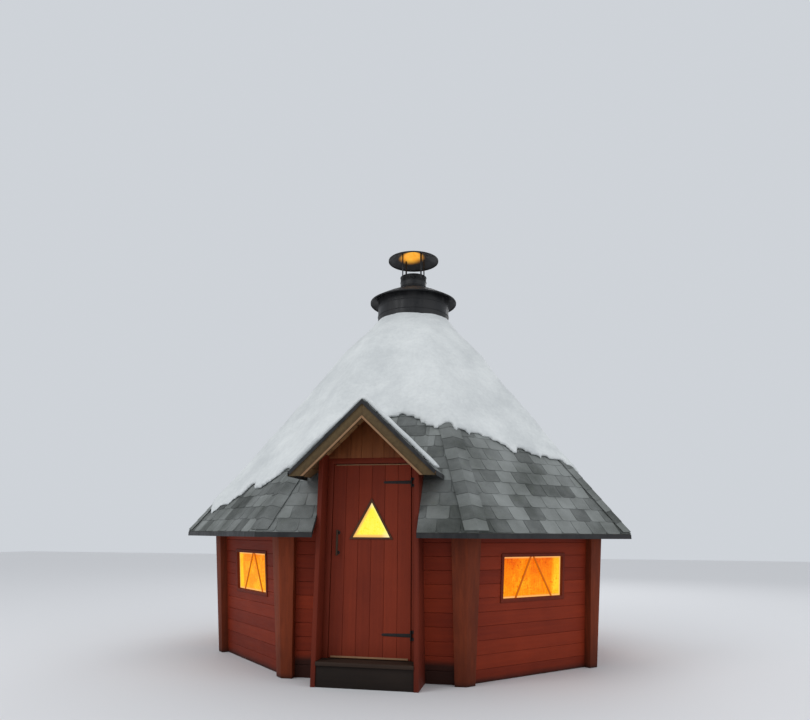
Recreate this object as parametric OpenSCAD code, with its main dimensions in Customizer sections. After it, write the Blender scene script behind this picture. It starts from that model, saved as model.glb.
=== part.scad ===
// Octagonal grill hut with a snowy shingle roof, a gabled door box and a smoke flue.
// Millimetres, +Z up, front door towards -Y. The origin is at the centre of the ground plan.

/* [Plan and walls] */
// Distance from the centre to the outside of a wall, at the ground
floor_apothem = 1875; // [1700:5:2200]
// How far each wall leans outwards, degrees
wall_lean = 5.5; // [3:0.5:8]
// Thickness of the wall panels
wall_t = 45; // [35:1:60]
// Width of a corner board's face at the ground, beside a panel
corner_w = 70; // [40:1:110]
// How far the corner boards stand proud of the panels
corner_proud = 70; // [10:1:90]

/* [Windows] */
// Width of the clear pane
pane_w = 744; // [500:4:850]
// Height of the clear pane
pane_h = 360; // [250:5:420]
// Height of the pane's middle above the ground, along the wall
pane_mid = 850; // [780:5:900]
// Width of the window frame bars
window_bar = 30; // [20:1:45]
// How far the window frame stands proud of the wall
window_proud = 10; // [4:1:25]
// Thickness of the panes
pane_t = 6; // [4:1:10]

/* [Main roof] */
// How far the eave stands out from the wall's foot
eave_out = 457; // [360:1:520]
// Height of the roof's upper edge at the eave
eave_z = 1233; // [1150:5:1350]
// Roof pitch, degrees
roof_pitch = 52.5; // [48:0.5:55]
// Thickness of the boarded and shingled roof panels
roof_t = 28; // [22:1:40]
// Width of the rafters under the hips
rafter_w = 45; // [36:1:60]
// Depth of the rafters under the hips
rafter_d = 70; // [50:5:95]
// Thickness of the crown ring
crown_t = 48; // [36:2:60]
// How far the crown ring rises above the roof
crown_rise = 90; // [60:5:120]
// How far the crown ring reaches below the roof, for the rafters to butt on
crown_drop = 140; // [100:5:180]

/* [Floor] */
// Height of the base beams
base_h = 140; // [110:5:150]
// Width of the base beams
base_w = 95; // [70:5:120]
// Thickness of the floor boards
floor_t = 27; // [20:1:34]
// Spacing of the three joists under the floor
joist_gap = 650; // [500:10:750]

/* [Door box] */
// Half of the outer width of the door box
box_half = 452; // [440:2:480]
// Thickness of its side boards
side_t = 40; // [30:1:46]
// How far the side boards' front edge stands out from the wall's foot
box_out = 341; // [290:1:380]
// Thickness of the threshold plank
step_t = 30; // [22:1:40]
// Height of the door leaf
leaf_h = 1626; // [1500:2:1640]
// Thickness of the door leaf
leaf_t = 40; // [30:1:45]
// How far the leaf's outer face stands out from the wall's foot
leaf_out = 173; // [130:1:200]
// Width of the door frame's posts
post_w = 50; // [40:1:60]
// Depth of the door frame
post_d = 65; // [60:1:80]
// Gap round the moving leaf
leaf_gap = 5; // [5:0.5:8]
// Height of the triangular door pane
tri_h = 306; // [220:2:340]
// Half of the base of the triangular door pane
tri_half = 171; // [120:1:190]
// Height of the triangle's base above the leaf's lower edge
tri_up = 985; // [880:5:1060]

/* [Gable roof] */
// Height of the gable ridge above the door frame
ridge_up = 470; // [440:2:520]
// Pitch of the gable roof, degrees
gable_pitch = 44; // [40:0.2:48]
// How far the gable roof reaches past the side boards
gable_side = 188; // [150:2:320]
// How far the gable roof reaches in front of the side boards
gable_out = 264; // [200:4:320]
// Thickness of the gable roof
gable_t = 32; // [24:1:36]
// Width of the barge boards
barge_w = 95; // [80:1:120]
// Thickness of the barge boards
barge_t = 28; // [20:1:34]

/* [Flue] */
// Radius of the sheet drum on the roof's top
drum_r = 450; // [444:1:480]
// Height of the drum
drum_h = 396; // [300:1:500]
// Room between the crown ring's corners and the drum
drum_room = 14; // [6:1:25]
// How far the cone's rim reaches past the drum
cone_over = 100; // [60:1:130]
// Height of the cone
cone_h = 190; // [150:2:220]
// Radius of the flue pipe
pipe_r = 166; // [150:1:175]
// Rise of the flue pipe above the cone
pipe_rise = 170; // [120:2:300]
// Height from the pipe's upper edge to the cap's rim
cap_gap = 234; // [180:1:280]
// Radius of the cap
cap_r = 326; // [280:2:350]
// Rise of the cap from its rim to its top
cap_h = 125; // [90:1:140]
// Thickness of the sheet metal
sheet_t = 3; // [2:0.5:4]

/* [Snow] */
// How far the snow stands above the roof at the point of the pyramid
snow_rise = 150; // [110:2:170]
// Thickness of the snow on the gable roof
gable_snow_t = 42; // [30:1:60]

/* [Hidden] */

sides = 8;
half_angle = 180 / sides;
// Clearance between pieces that seat on each other
seat = 0.3;
// How far a bore's tool runs past the piece at each end
through = 1;

floor_z = base_h + floor_t;
step_top = floor_z + step_t;
panel_w = 2 * (floor_apothem * tan(half_angle) - corner_w);
eave_apothem = floor_apothem + eave_out;
// Reach of the blocks that cut a piece off at a plane
big = 2.6 * eave_apothem;

inner_half = box_half - side_t;
leaf_half = inner_half - post_w - leaf_gap;
box_front = floor_apothem + box_out;
leaf_front = floor_apothem + leaf_out;
leaf_z = step_top + leaf_gap;
head_z = leaf_z + leaf_h + leaf_gap;
head_top = head_z + post_w;
gable_board_t = 25;
tri_z = leaf_z + tri_up;
ridge_z = head_top + ridge_up;
gable_half = box_half + gable_side;
gable_front = box_front + gable_out;

crown_outer = (drum_r - sheet_t - drum_room) * cos(half_angle);
crown_inner = crown_outer - crown_t;

// Heights of the main roof over a distance from the centre, square to a side
function roof_z(a) = eave_z + (eave_apothem - a) * tan(roof_pitch);
function roof_under(a) = roof_z(a) - roof_t / cos(roof_pitch);
// Distance from the centre to the inner face of a wall at a height
function wall_in(z) = floor_apothem - wall_t / cos(wall_lean) + z * tan(wall_lean);
// Height at which the inner face of a wall meets the roof
wall_in_top = (roof_under(wall_in(0))) / (1 + tan(wall_lean) * tan(roof_pitch));
// Underside of the gable roof at a distance from its ridge
function gable_under(x) = ridge_z - gable_t / cos(gable_pitch) - x * tan(gable_pitch);

// Places of the flue's pieces, one on top of the other
drum_foot = roof_z((drum_r - sheet_t) * cos(half_angle)) + seat;
drum_top = drum_foot + drum_h;
cone_r = drum_r + cone_over;
cone_slope = cone_h / (cone_r - pipe_r);
cone_rim = drum_top - cone_over * cone_slope + seat;
pipe_top = cone_rim + cone_h + pipe_rise;
pipe_tuck = 57;
cap_z = pipe_top + cap_gap;
cap_slope = cap_h / cap_r;
strap_t = 4;
strap_w = 24;
strap_lap = 60;

// Puts its children on one of the eight sides, counted from the front
module on_side(k) {
    rotate([0, 0, 2 * half_angle * k]) children();
}

// Frame of the front wall's outer face: x across, y inwards, z up the wall
module wall_frame() {
    translate([0, -floor_apothem, 0]) rotate([wall_lean, 0, 0]) children();
}

// Frame of the front roof side's upper face: x across, y up the slope, z outwards
module roof_frame() {
    translate([0, -eave_apothem, eave_z]) rotate([roof_pitch, 0, 0]) children();
}

// The wedge of the plan that belongs to the front side
module sector(reach) {
    w = reach * tan(half_angle);
    linear_extrude(big) polygon([[0, 0], [-w, -reach], [w, -reach]]);
}

// All that lies above the front roof side's upper face (drop = 0) or its underside
module above_roof(drop = 0) {
    roof_frame() translate([-big / 2, -big / 2, -drop]) cube([big, 2 * big, big]);
}

module below_roof() {
    roof_frame() translate([-big / 2, -big / 2, -big]) cube([big, 2 * big, big]);
}

module below_ground() {
    translate([-big, -big, -big]) cube([2 * big, 2 * big, big]);
}

// A leaning board of wall between two places across the side
module wall_board(x0, x1, proud = 0) {
    difference() {
        wall_frame() translate([x0, -proud, -wall_t]) cube([x1 - x0, wall_t + proud, 2 * eave_z]);
        below_ground();
        above_roof(roof_t + seat);
    }
}

module window_block(w, h, y0, y1) {
    wall_frame() translate([-w / 2, y0, pane_mid - h / 2]) cube([w, y1 - y0, h]);
}

module wall_panel(k) {
    color("#7a2a1c") on_side(k) difference() {
        wall_board(-panel_w / 2, panel_w / 2);
        window_block(pane_w + 2 * window_bar, pane_h + 2 * window_bar, -wall_t, 2 * wall_t);
    }
}

module wall_front(s) {
    color("#7a2a1c") mirror([s < 0 ? 1 : 0, 0, 0]) wall_board(box_half + seat, panel_w / 2);
}

// All that lies between two depths of the front wall, from its outer face inwards
module wall_layer(y0, y1) {
    wall_frame() translate([-big / 2, y0, -big / 2]) cube([big, y1 - y0, big]);
}

module corner_board() {
    difference() {
        intersection() {
            wall_layer(-corner_proud, big);
            on_side(1) wall_layer(-corner_proud, big);
            translate([panel_w / 2, -big, 0]) cube([big, 2 * big, big]);
            on_side(1) translate([-panel_w / 2 - big, -big, 0]) cube([big, 2 * big, big]);
        }
        intersection() {
            wall_layer(wall_t, big);
            on_side(1) wall_layer(wall_t, big);
        }
        above_roof(roof_t + seat);
        on_side(1) above_roof(roof_t + seat);
    }
}

module corner_boards() {
    color("#6a2418") for (k = [0:sides - 1]) on_side(k) corner_board();
}

module window_frames() {
    color("#8a4a30") for (k = [1:sides - 1]) on_side(k) difference() {
        window_block(pane_w + 2 * window_bar, pane_h + 2 * window_bar, -window_proud, wall_t);
        window_block(pane_w, pane_h, -wall_t, 2 * wall_t);
    }
}

module window_panes() {
    y0 = (wall_t - pane_t) / 2;
    color("#ffb14a") for (k = [1:sides - 1]) on_side(k)
        window_block(pane_w - 2 * seat, pane_h - 2 * seat, y0, y0 + pane_t);
}

// One side of the main roof, mitred at its hips and cut plumb at the eave and the crown
module roof_slab() {
    difference() {
        intersection() {
            roof_frame() translate([-big / 2, -big / 2, -roof_t]) cube([big, 2 * big, roof_t]);
            sector(eave_apothem);
        }
        translate([-big / 2, -crown_outer, 0]) cube([big, big, big]);
    }
}

module roof_side(k) {
    color("#3f4440") on_side(k) roof_slab();
}

// The house-shaped space inside the door box and its gable roof
module gable_space(half, z_side, z_mid, y0, y1) {
    translate([0, y1, 0]) rotate([90, 0, 0]) linear_extrude(y1 - y0)
        polygon([[-half, 0], [half, 0], [half, z_side], [0, z_mid], [-half, z_side]]);
}

module front_roof() {
    difference() {
        roof_slab();
        gable_space(box_half + seat, gable_under(box_half + seat), gable_under(0), -big / 2, -crown_outer);
    }
}

module roof_front_part(s) {
    x0 = s < 0 ? -big : (s > 0 ? box_half : -box_half);
    w = s == 0 ? 2 * box_half : big - box_half;
    color("#3f4440") intersection() {
        front_roof();
        translate([x0, -big, 0]) cube([w, big, big]);
    }
}

// Rafters under the hips, from the corner boards up to the crown ring
module hip_rafter() {
    slope = atan(tan(roof_pitch) * cos(half_angle));
    drop = tan(roof_pitch) * sin(half_angle) * rafter_w / 2 + seat;
    inner = wall_in(wall_in_top - drop - rafter_d / cos(slope));
    foot = inner / cos(half_angle) - rafter_w / 2 * tan(half_angle) - seat;
    head = crown_outer / cos(half_angle) + seat;
    intersection() {
        translate([0, -foot, roof_under(foot * cos(half_angle)) - drop]) rotate([slope, 0, 0])
            translate([-rafter_w / 2, -big / 2, -rafter_d]) cube([rafter_w, big, rafter_d]);
        translate([-rafter_w, -foot, 0]) cube([2 * rafter_w, foot - head, big]);
    }
}

module hip_rafters() {
    color("#8a6444") for (k = [0:sides - 1]) rotate([0, 0, 2 * half_angle * (k + 0.5)]) hip_rafter();
}

module octagon(a) {
    circle(r = a / cos(half_angle), $fn = sides);
}

module octagon_ring(outer, inner, h) {
    linear_extrude(h) rotate(half_angle) difference() {
        octagon(outer);
        octagon(inner);
    }
}

module crown_ring() {
    z0 = roof_under(crown_outer) - crown_drop;
    color("#5a4030") translate([0, 0, z0])
        octagon_ring(crown_outer, crown_inner, roof_z(crown_outer) + crown_rise - z0);
}

module base_frame() {
    color("#3a2c22") octagon_ring(wall_in(0) - seat, wall_in(0) - base_w, base_h);
}

module floor_joists() {
    reach = wall_in(0) - base_w - seat;
    color("#3a2c22") linear_extrude(base_h) intersection() {
        rotate(half_angle) octagon(reach);
        for (k = [-1:1]) translate([-reach, k * joist_gap - base_w / 2]) square([2 * reach, base_w]);
    }
}

module floor_boards() {
    color("#9a7450") translate([0, 0, base_h])
        linear_extrude(floor_t) rotate(half_angle) octagon(wall_in(0));
}

// Door step: the threshold plank that bridges from the floor to the box's front
module door_step() {
    nosing = 12;
    lap = 60;
    y0 = -box_front - nosing;
    color("#4a3426") translate([-inner_half, y0, floor_z])
        cube([2 * inner_half, lap - wall_in(0) - y0, step_t]);
}

module step_riser() {
    t = 28;
    set_back = 10;
    color("#2c221c") translate([-inner_half, -box_front + set_back, 0]) cube([2 * inner_half, t, floor_z]);
}

// Side board of the door box: in front of the wall, and on through the main roof
module box_side(s) {
    top = gable_under(0);
    color("#6a2418") mirror([s < 0 ? 1 : 0, 0, 0]) intersection() {
        translate([box_half, 0, 0]) rotate([90, 0, -90]) linear_extrude(side_t)
            polygon([[box_front, 0], [wall_in(0), 0], [wall_in(wall_in_top), wall_in_top],
                [eave_apothem - (top - roof_under(eave_apothem)) / tan(roof_pitch), top],
                [box_front, top]]);
        gable_space(box_half, gable_under(box_half) - seat, gable_under(0) - seat, -box_front, -crown_outer);
    }
}

module gable_board() {
    color("#7c3a22") translate([0, -leaf_front + gable_board_t, 0]) rotate([90, 0, 0])
        linear_extrude(gable_board_t)
            polygon([[-inner_half, head_top], [inner_half, head_top],
                [inner_half, gable_under(inner_half) - seat], [0, gable_under(0) - seat],
                [-inner_half, gable_under(inner_half) - seat]]);
}

// One slope of a gable covering of a thickness, standing on the ridge line at a height
module gable_slope(z, t, reach, y0) {
    difference() {
        translate([0, y0, z]) rotate([0, gable_pitch, 0])
            translate([-t, 0, -t]) cube([reach / cos(gable_pitch) + t, -y0, t]);
        translate([-big, -big, 0]) cube([big, 2 * big, big]);
        below_roof();
    }
}

module gable_roof(s) {
    color("#3f4440") mirror([s < 0 ? 1 : 0, 0, 0]) gable_slope(ridge_z, gable_t, gable_half, -gable_front);
}

module barge(s) {
    depth = barge_w / cos(gable_pitch);
    foot = gable_under(gable_half);
    set_back = 12;
    color("#5e3a26") mirror([s < 0 ? 1 : 0, 0, 0])
        translate([0, -gable_front + set_back + barge_t, 0]) rotate([90, 0, 0]) linear_extrude(barge_t)
            polygon([[0, gable_under(0) - seat], [0, gable_under(0) - depth],
                [gable_half - depth / tan(gable_pitch), foot - seat], [gable_half, foot - seat]]);
}

module door_frame() {
    stop_w = 20;
    stop_y = -leaf_front + leaf_t + leaf_gap;
    y0 = -leaf_front;
    color("#6a2418") {
        for (s = [0, 1]) mirror([s, 0, 0]) {
            translate([inner_half - post_w, y0, step_top]) cube([post_w, post_d, head_top - step_top]);
            translate([inner_half - post_w - stop_w, stop_y, step_top])
                cube([stop_w, post_d + y0 - stop_y, head_z - step_top]);
        }
        translate([-inner_half, y0, head_z]) cube([2 * inner_half, post_d, post_w]);
        translate([-inner_half + post_w, stop_y, head_z - stop_w])
            cube([2 * (inner_half - post_w), post_d + y0 - stop_y, stop_w]);
    }
}

// Triangle of the door pane, grown by a margin on all sides
module pane_triangle(margin) {
    side_angle = atan(tri_h / tri_half);
    half = tri_half + margin / tan(side_angle / 2);
    h = half * tan(side_angle);
    polygon([[-half, tri_z - margin], [half, tri_z - margin], [0, tri_z - margin + h]]);
}

// Upright plate of the door pane's shape, its outer face at a distance from the centre
module pane_plate(margin, front, t) {
    translate([0, -front + t, 0]) rotate([90, 0, 0]) linear_extrude(t) pane_triangle(margin);
}

module door_leaf() {
    color("#7a2a1c") difference() {
        translate([-leaf_half, -leaf_front, leaf_z]) cube([2 * leaf_half, leaf_t, leaf_h]);
        pane_plate(0, leaf_front + leaf_t, 3 * leaf_t);
    }
}

module door_pane() {
    color("#ffb14a") pane_plate(-seat, leaf_front - (leaf_t - pane_t) / 2, pane_t);
}

module door_pane_trim() {
    trim_t = 8;
    outer = 16;
    inner = 2;
    color("#a06a3c") difference() {
        pane_plate(outer, leaf_front + trim_t, trim_t);
        pane_plate(-inner, leaf_front + 2 * trim_t, 3 * trim_t);
    }
}

// Hinges: two pairs of plate and strap on fixed pins at the leaf's right edge
pin_r = 4;
pin_gap = 0.1;
knuckle_r = 8;
knuckle_h = 30;
hinge_end = 180;
hinge_plate_t = 3;
hinge_plate_w = 36;
hinge_strap_w = 240;
hinge_x = leaf_half + leaf_gap / 2;
hinge_y = -leaf_front - knuckle_r;
hinge_zs = [leaf_z + hinge_end, leaf_z + leaf_h - hinge_end];

module hinge_straps() {
    color("#1c1c1e") for (z = hinge_zs) translate([hinge_x, hinge_y, z]) {
        difference() {
            union() {
                cylinder(h = knuckle_h, r = knuckle_r);
                translate([-hinge_strap_w, knuckle_r - hinge_plate_t, 0])
                    cube([hinge_strap_w, hinge_plate_t, knuckle_h]);
            }
            translate([0, 0, -through]) cylinder(h = knuckle_h + 2 * through, r = pin_r + pin_gap);
        }
    }
}

module hinge_plates() {
    h = 24;
    play = 1;
    color("#1c1c1e") for (z = hinge_zs) translate([hinge_x, hinge_y, z]) {
        for (z1 = [-h - play, knuckle_h + play]) translate([0, 0, z1]) {
            cylinder(h = h, r = knuckle_r);
            translate([0, knuckle_r - hinge_plate_t, 0]) cube([hinge_plate_w, hinge_plate_t, h]);
        }
        translate([0, 0, -h / 2]) cylinder(h = knuckle_h + h, r = pin_r);
    }
}

module door_handle() {
    bar_r = 11;
    leg_r = 8;
    grip = 220;
    stand = 45;
    from_edge = 60;
    above_foot = 830;
    leg = 25;
    color("#241a14") translate([-leaf_half + from_edge, -leaf_front - stand, leaf_z + above_foot]) {
        cylinder(h = grip, r = bar_r);
        for (z = [leg, grip - leg]) translate([0, 0, z]) rotate([-90, 0, 0]) cylinder(h = stand, r = leg_r);
    }
}

// The drum stands on the hips and slips over the crown ring
module flue_drum() {
    color("#17181a") translate([0, 0, drum_foot]) difference() {
        cylinder(h = drum_h, r = drum_r, $fn = 96);
        translate([0, 0, -through]) cylinder(h = drum_h + 2 * through, r = drum_r - sheet_t, $fn = 96);
    }
}

module flue_cone() {
    lip = 14;
    hole = pipe_r + seat;
    rise = (cone_r - hole) * cone_slope;
    v = sheet_t * sqrt(1 + cone_slope * cone_slope);
    color("#17181a") translate([0, 0, cone_rim]) rotate_extrude($fn = 96) polygon([
        [cone_r, -lip], [cone_r, v], [hole, v + rise], [hole, rise],
        [cone_r - sheet_t, sheet_t * cone_slope], [cone_r - sheet_t, -lip]]);
}

module flue_pipe() {
    z0 = cone_rim + cone_h - pipe_tuck;
    color("#1d1e20") translate([0, 0, z0]) difference() {
        cylinder(h = pipe_top - z0, r = pipe_r, $fn = 96);
        translate([0, 0, -through])
            cylinder(h = pipe_top - z0 + 2 * through, r = pipe_r - sheet_t, $fn = 96);
    }
}

// Four flat straps from the pipe to the cap
module cap_straps() {
    z0 = pipe_top - strap_lap;
    z1 = cap_z + (cap_r - pipe_r - seat - strap_t) * cap_slope - seat;
    color("#1d1e20") for (k = [0:3]) rotate([0, 0, 45 + 90 * k])
        translate([pipe_r + seat, -strap_w / 2, z0]) cube([strap_t, strap_w, z1 - z0]);
}

module rain_cap() {
    lip = 14;
    color("#1d1e20") rotate_extrude($fn = 96) polygon([
        [0, cap_z + cap_h], [cap_r - sheet_t, cap_z + sheet_t * cap_slope], [cap_r - sheet_t, cap_z - lip],
        [cap_r, cap_z - lip], [cap_r, cap_z + sheet_t], [0, cap_z + cap_h + sheet_t]]);
}

// Reach of the snow as a share of the eave's, every half side from the front anticlockwise
snow_reach = [0.66, 0.73, 0.72, 0.84, 0.81, 0.92, 0.86, 0.93, 0.84, 0.94, 0.87, 0.96, 0.9, 1, 0.87, 0.89];
// Room between the snow and the drum
snow_room = 2;
snow_pitch = atan(tan(roof_pitch) + snow_rise / eave_apothem);

// All that lies below a pyramid of the roof's sides, hung from the eaves at a pitch
module pyramid(pitch) {
    intersection_for(k = [0:sides - 1]) on_side(k)
        translate([0, -eave_apothem, eave_z]) rotate([pitch, 0, 0])
            translate([-big / 2, -big / 2, -big]) cube([big, 2 * big, big]);
}

module snow_outline() {
    polygon([for (i = [0:2 * sides - 1])
        eave_apothem * snow_reach[i] * [sin(i * half_angle), -cos(i * half_angle)]]);
}

module roof_snow() {
    t = gable_snow_t / cos(gable_pitch) + seat;
    color("#dfe5ea") difference() {
        intersection() {
            pyramid(snow_pitch);
            linear_extrude(big) snow_outline();
        }
        pyramid(roof_pitch);
        gable_space(gable_half, ridge_z + t - gable_half * tan(gable_pitch), ridge_z + t,
            -big / 2, -crown_outer);
        cylinder(h = big, r = drum_r + snow_room, $fn = 96);
    }
}

module gable_snow() {
    t = gable_snow_t;
    z = ridge_z + t / cos(gable_pitch);
    strip = 150;
    inset = 12;
    y0 = -gable_front + inset;
    color("#dfe5ea") {
        mirror([1, 0, 0]) gable_slope(z, t, gable_half - inset, y0);
        intersection() {
            gable_slope(z, t, gable_half - inset, y0);
            translate([-through, y0, 0]) cube([big, strip, big]);
        }
    }
}

base_frame();
floor_joists();
floor_boards();
door_step();
step_riser();
wall_front(-1);  // wall_front_left
wall_front(1);  // wall_front_right
wall_panel(1);  // wall_right_front
wall_panel(2);  // wall_right
wall_panel(3);  // wall_right_back
wall_panel(4);  // wall_back
wall_panel(5);  // wall_left_back
wall_panel(6);  // wall_left
wall_panel(7);  // wall_left_front
corner_boards();
window_frames();
window_panes();
roof_front_part(-1);  // roof_front_left
roof_front_part(1);  // roof_front_right
roof_front_part(0);  // roof_front_top
roof_side(1);  // roof_right_front
roof_side(2);  // roof_right
roof_side(3);  // roof_right_back
roof_side(4);  // roof_back
roof_side(5);  // roof_left_back
roof_side(6);  // roof_left
roof_side(7);  // roof_left_front
hip_rafters();
crown_ring();
box_side(-1);  // box_side_left
box_side(1);  // box_side_right
gable_board();
gable_roof(-1);  // gable_roof_left
gable_roof(1);  // gable_roof_right
barge(-1);  // barge_left
barge(1);  // barge_right
door_frame();
door_leaf();
door_pane();
door_pane_trim();
door_handle();
hinge_straps();
hinge_plates();
flue_drum();
flue_cone();
flue_pipe();
cap_straps();
rain_cap();
roof_snow();
gable_snow();
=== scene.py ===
# %% [markdown]
# # A grill hut under snow
# This notebook dresses a finished CAD model of a small timber hut: eight leaning walls, a steep
# eight-sided roof with snow on it, a gabled door box and a black flue. The CAD model says where
# every piece is. The cells below give each piece its boards, edges, joints and finish.

# %% Load the CAD model
import math
import random

import bmesh
import bpy
from mathutils import Matrix, Vector, noise


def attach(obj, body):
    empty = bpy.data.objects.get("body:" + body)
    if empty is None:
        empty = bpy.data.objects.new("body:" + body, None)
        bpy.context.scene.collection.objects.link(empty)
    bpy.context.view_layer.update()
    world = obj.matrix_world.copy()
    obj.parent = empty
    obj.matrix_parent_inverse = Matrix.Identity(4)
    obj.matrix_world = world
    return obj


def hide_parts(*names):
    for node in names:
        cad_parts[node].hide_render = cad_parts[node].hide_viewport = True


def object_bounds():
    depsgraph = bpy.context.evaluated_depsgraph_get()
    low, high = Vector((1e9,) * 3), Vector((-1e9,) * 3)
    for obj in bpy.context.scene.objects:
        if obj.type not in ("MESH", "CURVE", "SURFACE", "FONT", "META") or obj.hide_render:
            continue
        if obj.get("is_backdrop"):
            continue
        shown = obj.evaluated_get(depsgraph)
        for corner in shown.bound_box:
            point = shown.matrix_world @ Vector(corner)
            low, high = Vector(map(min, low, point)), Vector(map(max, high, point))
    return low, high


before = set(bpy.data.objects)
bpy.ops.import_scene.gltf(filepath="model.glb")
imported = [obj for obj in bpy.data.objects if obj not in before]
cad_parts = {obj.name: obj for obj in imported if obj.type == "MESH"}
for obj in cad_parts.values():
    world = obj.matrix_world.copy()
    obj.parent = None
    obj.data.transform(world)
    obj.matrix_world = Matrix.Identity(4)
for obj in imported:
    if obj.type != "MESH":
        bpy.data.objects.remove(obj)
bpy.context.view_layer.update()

# %% [markdown]
# ## The hut's sizes
# The CAD source works in millimetres and this file in metres. The few sizes that several pieces
# share are repeated here once, with the CAD's own names, so that boards and shingles meet where
# the solids do.

# %% Sizes
SIDES = 8
HALF = math.radians(180 / SIDES)
# Walls: distance from the middle at the floor, lean, thickness, and a corner board's share
FLOOR_APOTHEM, LEAN, WALL_T, CORNER_W = 1.875, math.radians(5.5), 0.045, 0.070
PANEL_W = 2 * (FLOOR_APOTHEM * math.tan(HALF) - CORNER_W)
# Windows: the pane, the height of its middle up the wall, and the frame round it
PANE_W, PANE_H, PANE_T, PANE_MID = 0.744, 0.36, 0.006, 0.85
PANE_LOW, PANE_HIGH, PANE_FACE = PANE_MID - PANE_H / 2, PANE_MID + PANE_H / 2, (WALL_T - PANE_T) / 2
FRAME_BAR, FRAME_PROUD = 0.03, 0.01
# Main roof: its eave, pitch and thickness, and the crown and drum at its top
EAVE, EAVE_Z, PITCH, ROOF_T = 2.332, 1.233, math.radians(52.5), 0.028
CROWN_R, DRUM_R = 0.433, 0.45
CROWN = CROWN_R * math.cos(HALF)
# Door box, leaf, the head above it and the triangle in it
BOX_HALF, BOX_FRONT, SIDE_T = 0.452, 2.216, 0.040
LEAF_FRONT, LEAF_T, LEAF_Z, LEAF_H, LEAF_HALF = 2.048, 0.040, 0.202, 1.626, 0.357
HEAD_TOP = LEAF_Z + LEAF_H + 0.055
TRI_Z, TRI_HALF, TRI_H = LEAF_Z + 0.985, 0.171, 0.306
# Gable roof over the door, and its barge boards
RIDGE_Z, GABLE_PITCH, GABLE_HALF, GABLE_FRONT = 2.353, math.radians(44), 0.640, 2.48
GABLE_T, BARGE_W = 0.032, 0.095
# Pieces that seat on each other stay this far apart
SEAT = 0.0003


def gable_under(x):
    """Height of the gable roof's underside beside its ridge."""
    return RIDGE_Z - GABLE_T / math.cos(GABLE_PITCH) - abs(x) * math.tan(GABLE_PITCH)


def side(k):
    """Turns a piece from the front side to side k, counted to the right."""
    return Matrix.Rotation(2 * HALF * k, 4, "Z")


WALL = Matrix.Translation((0, -FLOOR_APOTHEM, 0)) @ Matrix.Rotation(LEAN, 4, "X")
ROOF = Matrix.Translation((0, -EAVE, EAVE_Z)) @ Matrix.Rotation(PITCH, 4, "X")
print("panel", round(PANEL_W, 4), "crown", round(CROWN, 4), "ridge meets roof at",
      round(EAVE - (RIDGE_Z - EAVE_Z) / math.tan(PITCH), 3))

# %% [markdown]
# ## The camera
# The photograph was taken from about chest height, close to the hut and aimed up, so the roof
# narrows towards its point. The camera's place, aim and lens come from fitting the hut's corners
# to the picture.

# %% Camera
CAMERA_PLACE = (1.4086, -7.8374, 1.2189)
TURN, TILT, ROLL = math.radians(10.925), math.radians(14.887), math.radians(0.412)
LENS_PIXELS, PHOTO_PIXELS, SENSOR = 654.5, 810, 36
forward = Vector((-math.sin(TURN) * math.cos(TILT), math.cos(TURN) * math.cos(TILT), math.sin(TILT)))
level = Vector((math.cos(TURN), math.sin(TURN), 0))
above = level.cross(forward)
right = math.cos(ROLL) * level + math.sin(ROLL) * above
up = math.cos(ROLL) * above - math.sin(ROLL) * level
bpy.ops.object.camera_add()
camera = bpy.context.object
camera.name = "camera"
aim = Matrix((right, up, -forward)).transposed().to_4x4()
camera.matrix_world = Matrix.Translation(CAMERA_PLACE) @ aim
camera.data.sensor_width = SENSOR
camera.data.lens = LENS_PIXELS / PHOTO_PIXELS * SENSOR
bpy.context.scene.camera = camera
print("lens", round(camera.data.lens, 2), "mm, aimed along", [round(v, 3) for v in forward])

# %% [markdown]
# ## Tools for making pieces
# Blender's operators act on whatever is selected, so each helper first selects one piece alone.
# A block is the usual start. It is then bevelled, repeated with an array, cut with planes and
# moved to its place, and the place is applied so that the object itself stays at the origin.


# %% Select and edit
def alone(piece):
    """Makes a piece the only one selected, and the active one."""
    bpy.ops.object.select_all(action="DESELECT")
    piece.select_set(True)
    bpy.context.view_layer.objects.active = piece
    return piece


def begin_edit(piece, kind="FACE", test=None):
    """Opens a piece in edit mode with all selected, or only what the test picks."""
    alone(piece)
    bpy.ops.object.mode_set(mode="EDIT")
    bpy.ops.mesh.select_mode(type=kind)
    bpy.ops.mesh.select_all(action="SELECT" if test is None else "DESELECT")
    if test is not None:
        mesh = bmesh.from_edit_mesh(piece.data)
        for item in {"VERT": mesh.verts, "EDGE": mesh.edges, "FACE": mesh.faces}[kind]:
            item.select_set(bool(test(item)))
        bmesh.update_edit_mesh(piece.data)


def end_edit():
    """Goes back to object mode."""
    bpy.ops.object.mode_set(mode="OBJECT")


# %% [markdown]
# Every piece starts as a primitive, drawn where it belongs. Its size and place are applied at
# once, so that later bevels come out equally wide on all sides.


# %% Start from a block
def newest(name):
    """Names the piece that a primitive operator has just added, and applies its place."""
    piece = bpy.context.object
    piece.name = piece.data.name = name
    bpy.ops.object.transform_apply(location=True, rotation=True, scale=True)
    return piece


def block(name, low, high):
    """A box between two corners, for the next steps to shape."""
    bpy.ops.object.select_all(action="DESELECT")
    low, high = Vector(low), Vector(high)
    bpy.ops.mesh.primitive_cube_add(size=1, location=(low + high) / 2)
    bpy.context.object.scale = high - low
    return newest(name)


# %% [markdown]
# A modifier is quick to set up and is applied straight away. A bevel takes the sharp edges off
# as a plane does, a plane through the piece cuts it to length, and an array lays boards side by
# side.


# %% Modifiers, cuts and rows
def modify(piece, kind, **settings):
    """Adds a modifier with these settings and applies it."""
    alone(piece)
    modifier = piece.modifiers.new(kind.title(), kind)
    for key, value in settings.items():
        setattr(modifier, key, value)
    bpy.ops.object.modifier_apply(modifier=modifier.name)
    return piece


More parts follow.
